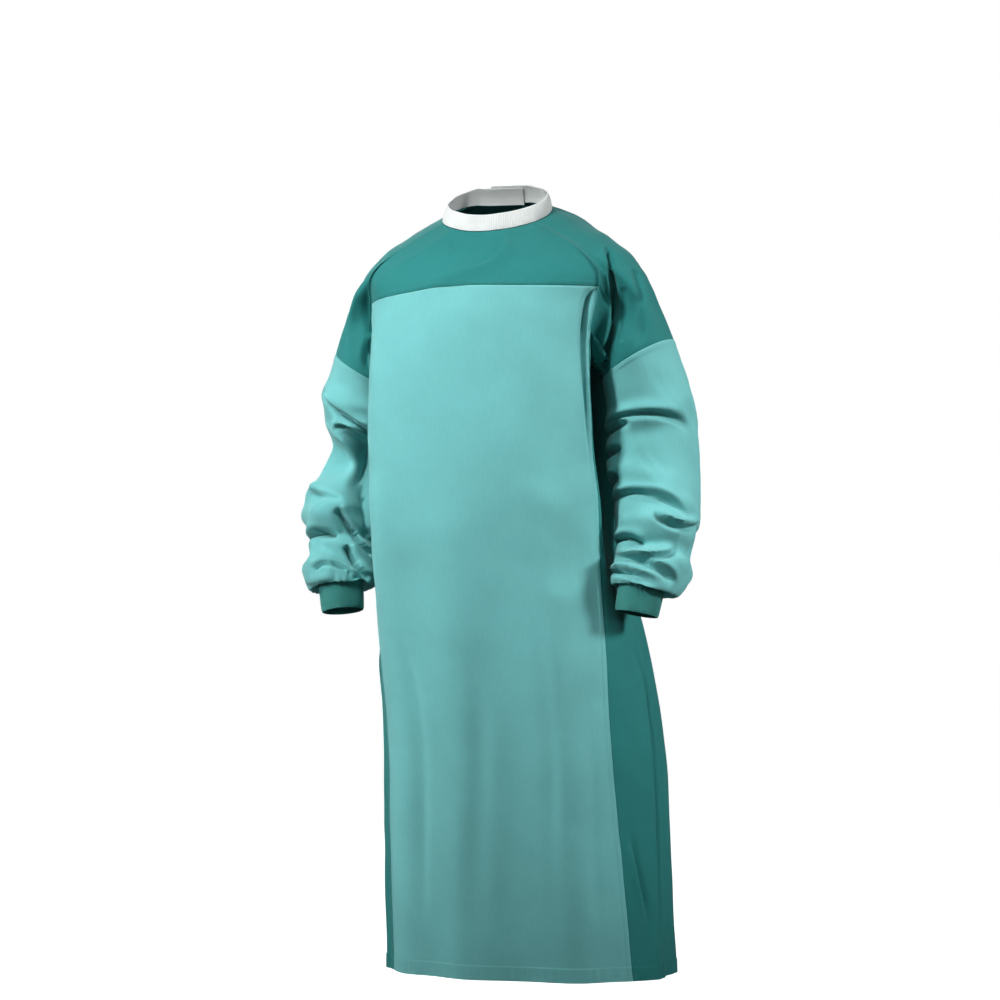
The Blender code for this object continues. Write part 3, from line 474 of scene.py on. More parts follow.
def line_height(lines, points, normals):
    """Height of the folds that follow lines of points in space."""
    height = np.zeros(points.shape[:-1])
    for line in lines:
        path = smooth_path(line.points, LINE_PASSES)
        runs = space_runs(path, points, normals)
        height += broken_ridge(line, runs, len(path) - 1, height.shape, LINE_FADE)
    return height


RIPPLE_WAVES, RIPPLE_LENGTHS = 9, (0.6, 1.8)
RIPPLE_BENDS = ((1.3, 0.37), (0.9, 0.29))


def ripple(across, down, seed, size, length):
    """Small uneven waves of the cloth, size high and about length long."""
    across, down = np.broadcast_arrays(across, down)
    chance = np.random.default_rng(seed)
    height = np.zeros(across.shape)
    for i in range(RIPPLE_WAVES):
        turn = chance.uniform(0, math.pi)
        wave = 2 * math.pi / (length * chance.uniform(*RIPPLE_LENGTHS))
        phase = chance.uniform(0, 2 * math.pi, 2)
        flow = math.cos(turn) * across + math.sin(turn) * down
        bend = sum(
            size_of * np.sin(way * wave * slow + start)
            for (size_of, slow), way, start in zip(RIPPLE_BENDS, (flow, down), phase[::-1])
        )
        height += np.sin(flow * wave + bend + phase[0])
    return size * height / math.sqrt(RIPPLE_WAVES)


# -------------------------------------------------------------- body surface
def section_at(drop):
    """The body's cross-section at one drop or at many."""
    return Section(*np.moveaxis(read_table(SECTIONS, drop), -1, 0))


def section_nodes(drop):
    """The eight nodes of a section: front, corner, side, rear, back, rear, side, corner."""
    row = section_at(drop)
    x = (0, row.corner_x, row.side_x, row.rear_x, 0, -row.rear_x, -row.side_x, -row.corner_x)
    y = (-row.front, -row.corner_y, row.side_y, row.rear_y, row.back, row.rear_y, row.side_y, -row.corner_y)
    nodes = np.empty(row.drop.shape + (8, 3))
    for i in range(8):
        nodes[..., i, :] = np.stack([row.centre + x[i], y[i], row.tilt * y[i] - row.drop], -1)
    return nodes


def plain_body(place, drop):
    place, drop = np.broadcast_arrays(np.asarray(place, float), np.asarray(drop, float))
    return loop_points(section_nodes(drop), place)


def body_normal(place, drop):
    """The plain body's outward direction."""
    round_way = plain_body(place + NORMAL_STEP, drop) - plain_body(place - NORMAL_STEP, drop)
    up_way = plain_body(place, drop - NORMAL_STEP) - plain_body(place, drop + NORMAL_STEP)
    return unit(np.cross(round_way, up_way))


def lap_height(place):
    """The lapped back: the left panel lies outside and the right one inside."""
    return LAP_STEP * np.sign(place) * ramp(np.abs(place), *LAP_RAMP)


BODY_RIPPLE, BODY_SEED = (0.0007, 0.10), 3
NECK_CALM = 0.03


def body(place, drop):
    place, drop = np.broadcast_arrays(np.asarray(place, float), np.asarray(drop, float))
    across = place * NODE_SPREAD
    period = 8 * NODE_SPREAD
    height = fold_height(BODY_FOLDS, across, drop, NODE_SPREAD, period)
    creases = crease_height(BODY_CREASES, across, drop, NODE_SPREAD, period)
    creases = creases + ripple(across, drop, BODY_SEED, *BODY_RIPPLE)
    height = height + creases * ramp(drop, NECK_DROP, NECK_DROP + NECK_CALM) + lap_height(place)
    return plain_body(place, drop) + height[..., None] * body_normal(place, drop)


def yoke_drop(place):
    """Drop of the chest seam across the front."""
    side = np.where(place < 0, YOKE_RIGHT, YOKE_LEFT)
    return YOKE_MIDDLE + (side - YOKE_MIDDLE) * np.abs(place) ** YOKE_CURVE


def armhole_drop(place):
    """Drop of the armhole's lower edge, deepest under the arm at the side node."""
    from_side = np.clip(np.abs(np.abs(place) - 2), 0, 1)
    return ARMPIT_DROP + ARMHOLE_DEPTH * (1 - from_side**3)


# Distances from a piece's edge where its mesh has extra rows, for seams, hems and turned edges.
SEAM_STEPS = (0, 0.0008, 0.0016, 0.0028, 0.0040, 0.0052, 0.0064, 0.0074, 0.0084, 0.0096)
HEM_STEPS = (0, 0.0010, 0.0080, 0.0150, 0.0190, 0.0202, 0.0212, 0.0222, 0.0234, 0.0250)
TURN_STEPS = (0, 0.0010, 0.0060, 0.0100, 0.0112, 0.0122, 0.0132, 0.0145)
YOKE_LENGTH, CHEST_LENGTH, PANEL_WIDTH = 0.125, 0.070, 0.36
SKIRT_LENGTH, SIDE_WIDTH, LAP_WIDTH = 0.877, 0.30, 0.22


def steps(length, count, first=(0,), last=(0,)):
    """Shares from 0 to 1 of a length, with extra ones at distances from the first or last."""
    start = np.array(first) / length
    end = 1 - np.array(last)[::-1] / length
    return np.concatenate([start[:-1], np.linspace(start[-1], end[0], count + 1), end[1:]])


def top_drops(place):
    """Drops from the neckline to the chest seam at a place on the front."""
    share = steps(YOKE_LENGTH, YOKE_ROWS, (0,), SEAM_STEPS)
    return NECK_DROP + (yoke_drop(place) - NECK_DROP) * share


def chest_drops(place):
    share = steps(CHEST_LENGTH, CHEST_ROWS, SEAM_STEPS[:3])
    return yoke_drop(place) + (ARMPIT_DROP - yoke_drop(place)) * share


REAR_DROPS = np.linspace(NECK_DROP, ARMPIT_DROP, YOKE_ROWS + CHEST_ROWS + 1)
ARMPIT_DROPS = np.linspace(ARMPIT_DROP, LEVEL_DROP, ARMPIT_ROWS + 1)
SKIRT_DROPS = LEVEL_DROP + (HEM_DROP - LEVEL_DROP) * steps(SKIRT_LENGTH, SKIRT_ROWS, (0,), HEM_STEPS)


# ------------------------------------------------------------ sleeve surface
def station_frame(side, along):
    """Centre, outward and forward radii of the sleeve's rings."""
    row = Station(*np.moveaxis(read_table(STATIONS, along), -1, 0))
    way = WAY[side]
    upper_arm = 1 - ramp(row.along, *UPPER_ARM)
    x = ARM_CENTRE + way * (row.x + ARM_SPREAD[side] * upper_arm)
    centre = np.stack([x, row.y, -row.drop - COLOUR_SEAM_EXTRA[side] * upper_arm], -1)
    out = np.radians(row.lean_out)
    fore = np.radians(row.lean_front)
    zero = np.zeros_like(out)
    outward = np.stack([way * np.cos(out), zero, np.sin(out)], -1) * row.half_width[..., None]
    forward = np.stack([zero, -np.cos(fore), np.sin(fore)], -1) * row.half_depth[..., None]
    return centre, outward, forward


def plain_sleeve(side, angle, along):
    """Angle 0 is the outer side of the arm, 90 degrees its front and 180 the side by the body."""
    angle, along = np.broadcast_arrays(np.asarray(angle, float), np.asarray(along, float))
    centre, outward, forward = station_frame(side, along)
    turn = np.radians(angle)[..., None]
    return centre + np.cos(turn) * outward + np.sin(turn) * forward


def sleeve_normal(side, angle, along):
    step = NORMAL_STEP
    round_way = plain_sleeve(side, angle + 1, along) - plain_sleeve(side, angle - 1, along)
    down_way = plain_sleeve(side, angle, along + step) - plain_sleeve(side, angle, along - step)
    way = WAY[side]
    return unit(np.cross(round_way, down_way)) * way


SLEEVE_RIPPLE = (0.0006, 0.045)
SLEEVE_SEED = {"left": 5, "right": 8}
SLEEVE_SCALE = math.radians(1) * SLEEVE_RADIUS


GATHER_PLEATS = 21
GATHER_DEPTH = 0.0012
GATHER_RISE, GATHER_FALL, GATHER_TUCK = (0.330, 0.378), (0.384, 0.390), 0.7
GATHER_SHIFTS = ((1.6, 3, 0.7), (1.2, 5, 2.1))
GATHER_UNEVEN = (0.65, 0.35, 4, 1.3)


def gathers(turn, along):
    """Uneven little pleats where the sleeve is drawn into the cuff."""
    phase = GATHER_PLEATS * turn
    for size, count, start in GATHER_SHIFTS:
        phase = phase + size * np.sin(count * turn + start)
    size, uneven, count, start = GATHER_UNEVEN
    fade = ramp(along, *GATHER_RISE) * (1 - GATHER_TUCK * ramp(along, *GATHER_FALL))
    return GATHER_DEPTH * (size + uneven * np.sin(count * turn + start)) * fade * np.cos(phase)


def sleeve(side, angle, along):
    angle, along = np.broadcast_arrays(np.asarray(angle, float), np.asarray(along, float))
    across = angle * SLEEVE_SCALE
    period = 360 * SLEEVE_SCALE
    height = fold_height(SLEEVE_FOLDS[side], across, along, SLEEVE_SCALE, period)
    plain, normals = plain_sleeve(side, angle, along), sleeve_normal(side, angle, along)
    height = height + line_height(SLEEVE_LINES[side], plain + height[..., None] * normals, normals)
    height = height + crease_height(SLEEVE_CREASES[side], across, along, SLEEVE_SCALE, period)
    turn = np.radians(angle)
    x, y = np.cos(turn) * SLEEVE_RADIUS, along + np.sin(turn) * SLEEVE_RADIUS
    waves = ripple(x, y, SLEEVE_SEED[side], *SLEEVE_RIPPLE)
    ease = ramp(along, *FOLDS_START) * (1 - ramp(along, *FOLDS_END))
    height = (height + waves) * ease + gathers(turn, along)
    return plain + height[..., None] * normals


def sleeve_top_loop(side):
    """The sleeve's upper edge, from the shoulder forwards: places, drops and ring angles."""
    way = WAY[side]
    front = np.linspace(NECK_DROP, ARMPIT_DROP, RAGLAN_COLUMNS + 1)
    under = np.linspace(1, 3, UNDERARM_COLUMNS + 1)[1:-1]
    half = np.linspace(2, 1, NECK_HALF_COLUMNS + 1)
    place = np.concatenate([half, np.full(RAGLAN_COLUMNS, 1.0), under])
    drop = np.concatenate([np.full(len(half), NECK_DROP), front[1:], armhole_drop(under)])
    rear = np.linspace(ARMPIT_DROP, NECK_DROP, REAR_COLUMNS + 1)
    place = np.concatenate([place, np.full(len(rear), 3.0), 4 - half[::-1][1:-1]])
    drop = np.concatenate([drop, rear, np.full(len(half) - 2, NECK_DROP)])
    angle = np.concatenate([
        np.linspace(0, NECK_ANGLE, len(half)),
        np.linspace(NECK_ANGLE, UNDERARM_ANGLE, len(front))[1:],
        np.linspace(UNDERARM_ANGLE, 360 - UNDERARM_ANGLE, len(under) + 2)[1:-1],
        np.linspace(360 - UNDERARM_ANGLE, 360 - NECK_ANGLE, len(rear)),
        np.linspace(360 - NECK_ANGLE, 360, len(half))[1:-1],
    ])
    return way * place, drop, angle


def upper_sleeve_grid(side, shares):
    """Rows of points from the neckline and raglan seams down to the colour seam."""
    place, drop, angle = sleeve_top_loop(side)
    way = WAY[side]
    start = body(place, drop)
    end = plain_sleeve(side, angle, 0.0)
    toward_side = np.where(np.abs(place) > 2, -way, way)
    round_way = unit(plain_body(place + toward_side * LEAVE_STEP, drop) - plain_body(place, drop))
    down_way = unit(plain_body(place, drop + LEAVE_STEP) - plain_body(place, drop - LEAVE_STEP))
    round_share, down_share, sink = SEAM_LEAVE
    off_seam = round_share * round_way + down_share * down_way - sink * body_normal(place, drop)
    on_seam = np.isin(np.abs(place), (1.0, 3.0))[:, None]
    shoulder = np.array([way * SHOULDER_LEAVE[0], 0, SHOULDER_LEAVE[1]])
    armpit = np.array([way * ARMPIT_LEAVE[0], 0, ARMPIT_LEAVE[1]])
    past_neck = ramp(drop, NECK_DROP, NECK_DROP + SHOULDER_BLEND)[:, None]
    leave = np.where(on_seam, shoulder + past_neck * (unit(off_seam) - shoulder), armpit)
    leave = np.where(drop[:, None] == NECK_DROP, shoulder, leave)
    arrive = unit(plain_sleeve(side, angle, ARRIVE_STEP) - plain_sleeve(side, angle, 0.0))
    reach = np.linalg.norm(end - start, axis=1)[:, None]
    outer = np.clip(np.cos(np.radians(angle)), 0, 1) ** 2
    pull = (SEAM_PULL + OUTER_PULL * outer)[:, None]
    hold = pull + SEAM_HOLD * past_neck * on_seam
    t = np.asarray(shares)[:, None, None]
    grid = (
        (1 + 2 * t) * (1 - t) ** 2 * start
        + t**2 * (3 - 2 * t) * end
        + t * (1 - t) ** 2 * hold * reach * unit(leave)
        + t**2 * (t - 1) * pull * reach * arrive
    )
    return grid, place, drop, angle


# -------------------------------------------------------------- mesh making
SHARP_ANGLE = math.radians(60)
# Where each edge of a grid lies, and the row or column next to it.
GRID_EDGES = {
    "top": (np.s_[0], np.s_[1]), "bottom": (np.s_[-1], np.s_[-2]),
    "left": (np.s_[:, 0], np.s_[:, 1]), "right": (np.s_[:, -1], np.s_[:, -2]),
}


def inset(points, edges):
    """Pulls the named edges of a grid back by half the seam gap."""
    moved = points.copy()
    for name in edges:
        rim, inside = GRID_EDGES[name]
        moved[rim] += SEAM_GAP / 2 * unit(points[inside] - points[rim])
    return moved


# How the outer face stands at an edge: it dips by dip where two pieces meet, and the cloth is
# doubled, and so raised by rise, as far as width from the edge.
Edge = namedtuple("Edge", "dip rise width")
PLAIN_SEAM = Edge(0.0005, 0.0, 0.0)
WELT = Edge(0.0005, 0.0005, 0.0078)
HEM = Edge(0.0, 0.0008, 0.0218)
TURNED_EDGE = Edge(0.0, 0.0006, 0.0118)
SEAM_ROLL, DOUBLING_STEP = 0.0014, 0.0012
PUCKER_WAVE, PUCKER_SHARE = 0.019, 0.45
PUCKER_SHIFTS = ((1.7, 0.31), (1.1, 0.17, 2))


def lengths_along(points, axis=0):
    """Distances along a line of points, or along the rows or columns of a grid."""
    gaps = np.linalg.norm(np.diff(points, axis=axis), axis=-1)
    return np.cumsum(np.insert(gaps, 0, 0, axis), axis)


def edge_distances(points):
    """How far each point of a grid is from its four edges, along the cloth."""
    top, left = lengths_along(points), lengths_along(points, 1)
    return {"top": top, "bottom": top[-1:] - top, "left": left, "right": left[:, -1:] - left}


def edge_shape(edge, far, along):
    """Height of an edge's dip and doubled cloth, with small puckers along it."""
    wave = along * 2 * math.pi / PUCKER_WAVE
    (size_a, slow_a), (size_b, slow_b, start_b) = PUCKER_SHIFTS
    shifted = wave + size_a * np.sin(wave * slow_a) + size_b * np.sin(wave * slow_b + start_b)
    doubled = 1 - ramp(far, edge.width - DOUBLING_STEP, edge.width) if edge.width else 0
    pucker = 1 + PUCKER_SHARE * np.sin(shifted)
    return edge.rise * doubled * pucker - edge.dip * (1 - ramp(far, 0, SEAM_ROLL))


def edge_heights(points, edges):
    """Extra height of a grid's outer face along the edges that are named."""
    far = edge_distances(points)
    height = np.zeros(points.shape[:2])
    for name, edge in edges.items():
        along = far["left"] if name in ("top", "bottom") else far["top"]
        height += edge_shape(edge, far[name], along)
    return height


ALLOWANCE, ALLOWANCE_DEPTH = 0.0068, 0.00105
FLAP_SINK, FLAP_STEP = 0.0014, 0.0002


def allowance(points, normals, extra, edge, share=1.0):
    """Adds a seam allowance: a narrow flap from the top or left edge, inside the piece it joins."""
    if edge == "left":
        grids = (points.swapaxes(0, 1), normals.swapaxes(0, 1), extra.T)
        return tuple(grid.swapaxes(0, 1) for grid in allowance(*grids, "top", share))
    away = unit(points[0] - points[1])
    reach = ALLOWANCE * np.broadcast_to(share, len(away))[:, None]
    sunk = points[0] - ALLOWANCE_DEPTH * normals[0]
    low = sunk - FLAP_SINK * normals[0]
    rows = np.stack([low + (reach + FLAP_STEP) * away, sunk + FLAP_STEP * away])
    points = np.concatenate([rows, points])
    normals = np.concatenate([normals[:1], normals[:1], normals])
    extra = np.concatenate([np.zeros((2, extra.shape[1])), extra])
    return points, normals, extra


def grid_normals(points, closed):
    """Outward directions of a grid whose columns run round and whose rows run down."""
    if closed:
        round_way = np.roll(points, -1, 1) - np.roll(points, 1, 1)
    else:
        round_way = np.gradient(points, axis=1)
    down_way = np.gradient(points, axis=0)
    return unit(np.cross(down_way, round_way))


def flat_lengths(points, closed):
    """Distances round and down the cloth at each point of a grid, for its weave."""
    if closed:
        points = np.concatenate([points, points[:, :1]], 1)
    return tuple(
        np.cumsum(np.insert(np.linalg.norm(np.diff(points, axis=axis), axis=-1).mean(1 - axis), 0, 0))
        for axis in (1, 0)
    )


def new_piece(name, spots, faces, material, uvs=None, smooth=True):
    """A mesh in the scene. uvs are the flat lengths at its faces' corners, for its weave."""
    mesh = bpy.data.meshes.new(name)
    mesh.from_pydata(spots, [], faces)
    if smooth:
        mesh.shade_smooth()
    if uvs is not None:
        layer = mesh.uv_layers.new(name="cloth")
        layer.data.foreach_set("uv", uvs.reshape(-1).astype(np.float32))
        mesh.set_sharp_from_angle(angle=SHARP_ANGLE)
    mesh.materials.append(material)
    piece = bpy.data.objects.new(name, mesh)
    bpy.context.scene.collection.objects.link(piece)
    return piece


def shell(name, points, normals, material, closed=False, keep=None, thickness=CLOTH, extra=0):
    """A thin closed shell about a grid of points, with its flat lengths as UVs."""
    rows, columns = points.shape[:2]
    half = np.broadcast_to(np.asarray(thickness, float) / 2, (rows, columns))
    outer = points + normals * (half + extra)[..., None]
    inner = points - normals * half[..., None]
    spots = np.concatenate([outer.reshape(-1, 3), inner.reshape(-1, 3)])
    count = rows * columns
    cells = columns if closed else columns - 1
    r, c = np.meshgrid(np.arange(rows - 1), np.arange(cells), indexing="ij")
    if keep is not None:
        r, c = r[keep], c[keep]
    r, c = r.ravel(), c.ravel()
    d = (c + 1) % columns
    quads = np.stack([r * columns + c, (r + 1) * columns + c, (r + 1) * columns + d, r * columns + d], 1)
    across, down = flat_lengths(points, closed)
    flat = np.stack([across[[c, c, c + 1, c + 1]].T, down[[r, r + 1, r + 1, r]].T], -1)
    ends = np.concatenate([quads[:, [k, (k + 1) % 4]] for k in range(4)])
    flat_ends = np.concatenate([flat[:, [k, (k + 1) % 4]] for k in range(4)])
    code = ends[:, 0].astype(np.int64) * count + ends[:, 1]
    back = ends[:, 1].astype(np.int64) * count + ends[:, 0]
    border = ~np.isin(code, back)
    a, b = ends[border].T
    rim = np.stack([b, a, a + count, b + count], 1)
    faces = np.concatenate([quads, quads[:, ::-1] + count, rim])
    uvs = np.concatenate([flat, flat[:, ::-1], flat_ends[border][:, [1, 0, 0, 1]]])
    used, faces = np.unique(faces, return_inverse=True)
    return new_piece(name, spots[used].tolist(), faces.reshape(-1, 4).tolist(), material, uvs)


def own(piece, node):
    """Puts a piece on the gown's one body, in place of its CAD node."""
    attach(piece, "root")
    if node:
        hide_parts(node)
    return piece


# ------------------------------------------------------------------ materials
def node_of(tree, kind, **sockets):
    made = tree.nodes.new(kind)
    for name, value in sockets.items():
        made.inputs[name].default_value = value
    return made


def math_node(tree, operation, first, second=None):
    made = tree.nodes.new("ShaderNodeMath")
    made.operation = operation
    for i, value in enumerate((first, second)):
        if value is None:
            continue
        if isinstance(value, (int, float)):
            made.inputs[i].default_value = value
        else:
            tree.links.new(value, made.inputs[i])
    return made.outputs[0]


def new_material(name, values):
    """A material whose shader has these values, with its node tree and its shader."""
    material = bpy.data.materials.new(name)
    material.use_nodes = True
    tree = material.node_tree
    shader = tree.nodes["Principled BSDF"]
    for socket, value in values.items():
        shader.inputs[socket].default_value = value
    return material, tree, shader


def flat_place(tree):
    """The place on the flat cloth, and its parts across and down."""
    place = tree.nodes.new("ShaderNodeUVMap")
    place.uv_map = "cloth"
    parts = tree.nodes.new("ShaderNodeSeparateXYZ")
    tree.links.new(place.outputs["UV"], parts.inputs[0])
    return place.outputs["UV"], parts.outputs["X"], parts.outputs["Y"]


def noise(tree, place, scale, detail, roughness=0.5):
    made = node_of(tree, "ShaderNodeTexNoise", Scale=scale, Detail=detail, Roughness=roughness)
    tree.links.new(place, made.inputs["Vector"])
    return made.outputs[0]


def tint(tree, source, start, end, colour, low, high):
    """A colour that goes from a low to a high share of itself as the source goes from start to end."""
    made = tree.nodes.new("ShaderNodeValToRGB")
    for element, place, share in zip(made.color_ramp.elements, (start, end), (low, high)):
        element.position = place
        element.color = [min(1.0, share * c) for c in colour] + [1]
    tree.links.new(source, made.inputs[0])
    return made.outputs[0]


def bump(tree, height, strength, distance, below=None):
    made = node_of(tree, "ShaderNodeBump", Strength=strength, Distance=distance)
    tree.links.new(height, made.inputs["Height"])
    if below:
        tree.links.new(below, made.inputs["Normal"])
    return made.outputs[0]


def woven(name, colour, pitch=0.00045, sheen=0.12, twill=False):
    """Matt woven cloth: crossing threads, faint slubs and a little unevenness of the dye."""
    values = {"Roughness": 0.82, "Sheen Weight": sheen, "Sheen Roughness": 0.5, "Specular IOR Level": 0.25}
    material, tree, shader = new_material(name, values)
    place, across, down = flat_place(tree)
    u = math_node(tree, "MULTIPLY", across, math.pi / pitch)
    v = math_node(tree, "MULTIPLY", down, math.pi / pitch)
    if twill:
        u = math_node(tree, "ADD", u, v)
    weave = math_node(tree, "MULTIPLY", math_node(tree, "SINE", u), math_node(tree, "SINE", v))
    stretch = node_of(tree, "ShaderNodeMapping", Scale=(1.0, 0.12, 1.0))
    tree.links.new(place, stretch.inputs["Vector"])
    slub = noise(tree, stretch.outputs[0], 420, 3, 0.6)
    threads = node_of(tree, "ShaderNodeMix")
    threads.data_type = "RGBA"
    threads.blend_type = "MULTIPLY"
    threads.inputs["Factor"].default_value = 0.35
    dye = tint(tree, noise(tree, place, 9, 5, 0.55), 0.30, 0.70, colour, 0.93, 1.06)
    tree.links.new(dye, threads.inputs[6])
    tree.links.new(tint(tree, slub, 0.25, 0.75, (1, 1, 1), 0.78, 1), threads.inputs[7])
    tree.links.new(threads.outputs[2], shader.inputs["Base Color"])
    low = bump(tree, noise(tree, place, 38, 4), 0.35, 0.0012)
    tree.links.new(bump(tree, weave, 0.5, 0.00009, low), shader.inputs["Normal"])
    return material


def knitted(name, colour, loop=0.0016):
    """Matt rib knit: rows of small loops along each rib."""
    values = {"Roughness": 0.9, "Sheen Weight": 0.2, "Specular IOR Level": 0.2}
    material, tree, shader = new_material(name, values)
    place, across, down = flat_place(tree)
    u = math_node(tree, "MULTIPLY", across, 2 * math.pi / loop)
    v = math_node(tree, "MULTIPLY", down, 2 * math.pi / loop)
    lean = math_node(tree, "MULTIPLY", math_node(tree, "ABSOLUTE", math_node(tree, "SINE", u)), 2.0)
    loops = math_node(tree, "SINE", math_node(tree, "ADD", v, lean))
    dye = tint(tree, noise(tree, place, 25, 4), 0.3, 0.7, colour, 0.92, 1.05)
    tree.links.new(dye, shader.inputs["Base Color"])
    fuzz = bump(tree, noise(tree, place, 900, 2), 0.3, 0.0002)
    tree.links.new(bump(tree, loops, 0.5, 0.0002, fuzz), shader.inputs["Normal"])
    return material


def thread(name, colour):
    """Twisted sewing thread: a soft sheen, with the ply as a fine bump."""
    material, tree, shader = new_material(name, {"Roughness": 0.6, "Sheen Weight": 0.1})
    spot = tree.nodes.new("ShaderNodeNewGeometry")
    ply = noise(tree, spot.outputs["Position"], 2600, 2)
    tree.links.new(tint(tree, ply, 0.35, 0.65, colour, 0.85, 1.1), shader.inputs["Base Color"])
    tree.links.new(bump(tree, ply, 0.4, 0.0001), shader.inputs["Normal"])
    return material


LIGHT_THREAD = (0.130, 0.430, 0.430)
DARK_THREAD = (0.026, 0.200, 0.190)
LIGHT_GREEN = (0.150, 0.475, 0.475)
DARK_GREEN = (0.014, 0.190, 0.183)
RIB_GREEN = (0.036, 0.225, 0.205)
WHITE = (0.70, 0.74, 0.73)
TAPE_GREEN = (0.050, 0.300, 0.270)


# --------------------------------------------------------------------- pieces
def build_yoke(material):
    place = 2 * steps(PANEL_WIDTH, FRONT_COLUMNS, SEAM_STEPS, SEAM_STEPS) - 1
    drop = np.stack([top_drops(p) for p in place], 1)
    points = inset(body(place, drop), ("top", "bottom", "left", "right"))
    extra = edge_heights(points, {"top": PLAIN_SEAM, "bottom": WELT, "left": WELT, "right": WELT})
    piece = shell("front_yoke_cloth", points, grid_normals(points, False), material, extra=extra)
    return own(piece, "yoke_front")


def front_places(drop, share):
    """Places across the front panel, from the right side seam to the left one."""
    row = section_at(drop)
    return -row.seam_left[:, None] + (row.seam_left + row.seam_right)[:, None] * share


def build_front(material):
    straight = np.concatenate([ARMPIT_DROPS[1:], SKIRT_DROPS[1:]])
    share = steps(PANEL_WIDTH, FRONT_COLUMNS, SEAM_STEPS, SEAM_STEPS)
    chest = np.stack([chest_drops(p) for p in 2 * share - 1], 1)
    places = np.concatenate([np.tile(2 * share - 1, (len(chest), 1)), front_places(straight, share)])
    drops = np.concatenate([chest, np.tile(straight[:, None], (1, len(share)))])
    points = inset(body(places, drops), ("top", "left", "right"))
    normals = grid_normals(points, False)
    extra = edge_heights(points, {"top": PLAIN_SEAM, "bottom": HEM, "left": WELT, "right": WELT})
    points, normals, extra = allowance(points, normals, extra, "top")
    piece = shell("front_panel_cloth", points, normals, material, extra=extra)
    return own(piece, "front_panel")


def build_back(side, material):
    row_drops = np.concatenate([REAR_DROPS[:-1], ARMPIT_DROPS[:-1], SKIRT_DROPS])
    top_rows = len(REAR_DROPS) - 1
    row = section_at(row_drops)
    seam = row.seam_right if side == "left" else row.seam_left
    t = steps(SIDE_WIDTH, SIDE_COLUMNS, SEAM_STEPS[:3])
    wrap = seam[:, None] + (3 - seam)[:, None] * t
    behind = 3 + (1 + BACK_LAP) * steps(LAP_WIDTH, BACK_COLUMNS, SEAM_STEPS, TURN_STEPS)[1:]
    places = np.concatenate([wrap, np.tile(behind, (len(row_drops), 1))], 1)
    drops = np.tile(row_drops[:, None], (1, places.shape[1]))
    for r in range(top_rows, top_rows + ARMPIT_ROWS):
        share = (r - top_rows) / ARMPIT_ROWS
        dip = armhole_drop(places[r]) - ARMPIT_DROP
        drops[r] += np.where(places[r] < 3, dip * (1 - share), 0)
    corner = len(t) - 1
    keep = np.ones((len(row_drops) - 1, places.shape[1] - 1), bool)
    keep[:top_rows, :corner] = False
    way = WAY[side]
    points = inset(body(way * places, drops), ("top", "left"))
    extra = edge_heights(points, {"left": PLAIN_SEAM, "right": TURNED_EDGE, "bottom": HEM})
    far = edge_distances(points)
    off_raglan = far["left"] - far["left"][:, corner : corner + 1]
    extra[:top_rows] += edge_shape(WELT, off_raglan, far["top"])[:top_rows]
    normals = grid_normals(points, False) * way
    points, normals, extra = allowance(points, normals, extra, "left")
    flap = np.tile(np.arange(len(row_drops) - 1)[:, None] >= top_rows, (1, 2))
    keep = np.concatenate([flap, keep], 1)
    if way < 0:
        points, normals, extra, keep = points[:, ::-1], normals[:, ::-1], extra[:, ::-1], keep[:, ::-1]
    piece = shell(f"back_{side}_cloth", points, normals, material, keep=keep, extra=extra)
    return own(piece, f"back_{side}")


UPPER_SLEEVE_LENGTH = 0.17
UPPER_START, UPPER_END, UPPER_SEED = (0, 0.10), (0.84, 0.96), 13
NECK_FLAP = (0.012, 0.035)


def upper_sleeve_points(side, shares):
    """The upper sleeve's middle surface with its creases, and the drops of its upper edge."""
    grid, place, drop, angle = upper_sleeve_grid(side, shares)
    normals = grid_normals(grid, True) * -WAY[side]
    across = angle[None, :] * SLEEVE_SCALE
    height = crease_height(
        UPPER_CREASES[side], across, shares[:, None], SLEEVE_SCALE, 360 * SLEEVE_SCALE, UPPER_LENGTH
    )
    if side == "left":
        height += line_height(SHOULDER_FOLDS, grid, normals)
    ease = ramp(shares, *UPPER_START) * (1 - ramp(shares, *UPPER_END))
    height = (height + ripple(grid[..., 0], grid[..., 2], UPPER_SEED, *SLEEVE_RIPPLE)) * ease[:, None]
    return grid + height[..., None] * normals, drop


def build_upper_sleeve(side, material):
    shares = steps(UPPER_SLEEVE_LENGTH, UPPER_SLEEVE_ROWS[side], SEAM_STEPS[:4], SEAM_STEPS[:4])
    points, drop = upper_sleeve_points(side, shares)
    if side == "left":
        points, drop = points[:, ::-1], drop[::-1]
    points = inset(points, ("top", "bottom"))
    normals = grid_normals(points, True)
    extra = edge_heights(points, {"top": PLAIN_SEAM, "bottom": PLAIN_SEAM})
    points, normals, extra = allowance(points, normals, extra, "top", ramp(drop, *NECK_FLAP))
    piece = shell(f"upper_sleeve_{side}_cloth", points, normals, material, closed=True, extra=extra)
    return own(piece, f"sleeve_upper_{side}")


ROLL, ROLL_PASSES = (0.345, 0.355), 6


def rolled(points, along):
    """Rounds off the sleeve where it turns back up to the cuff."""
    moved = points.copy()
    share = ramp(along[1:-1, None], *ROLL)[..., None]
    for _ in range(ROLL_PASSES):
        middle = (moved[2:] + moved[:-2]) / 2
        moved[1:-1] += 0.5 * share * (middle - moved[1:-1])
    return moved


SLEEVE_LENGTH = 0.39


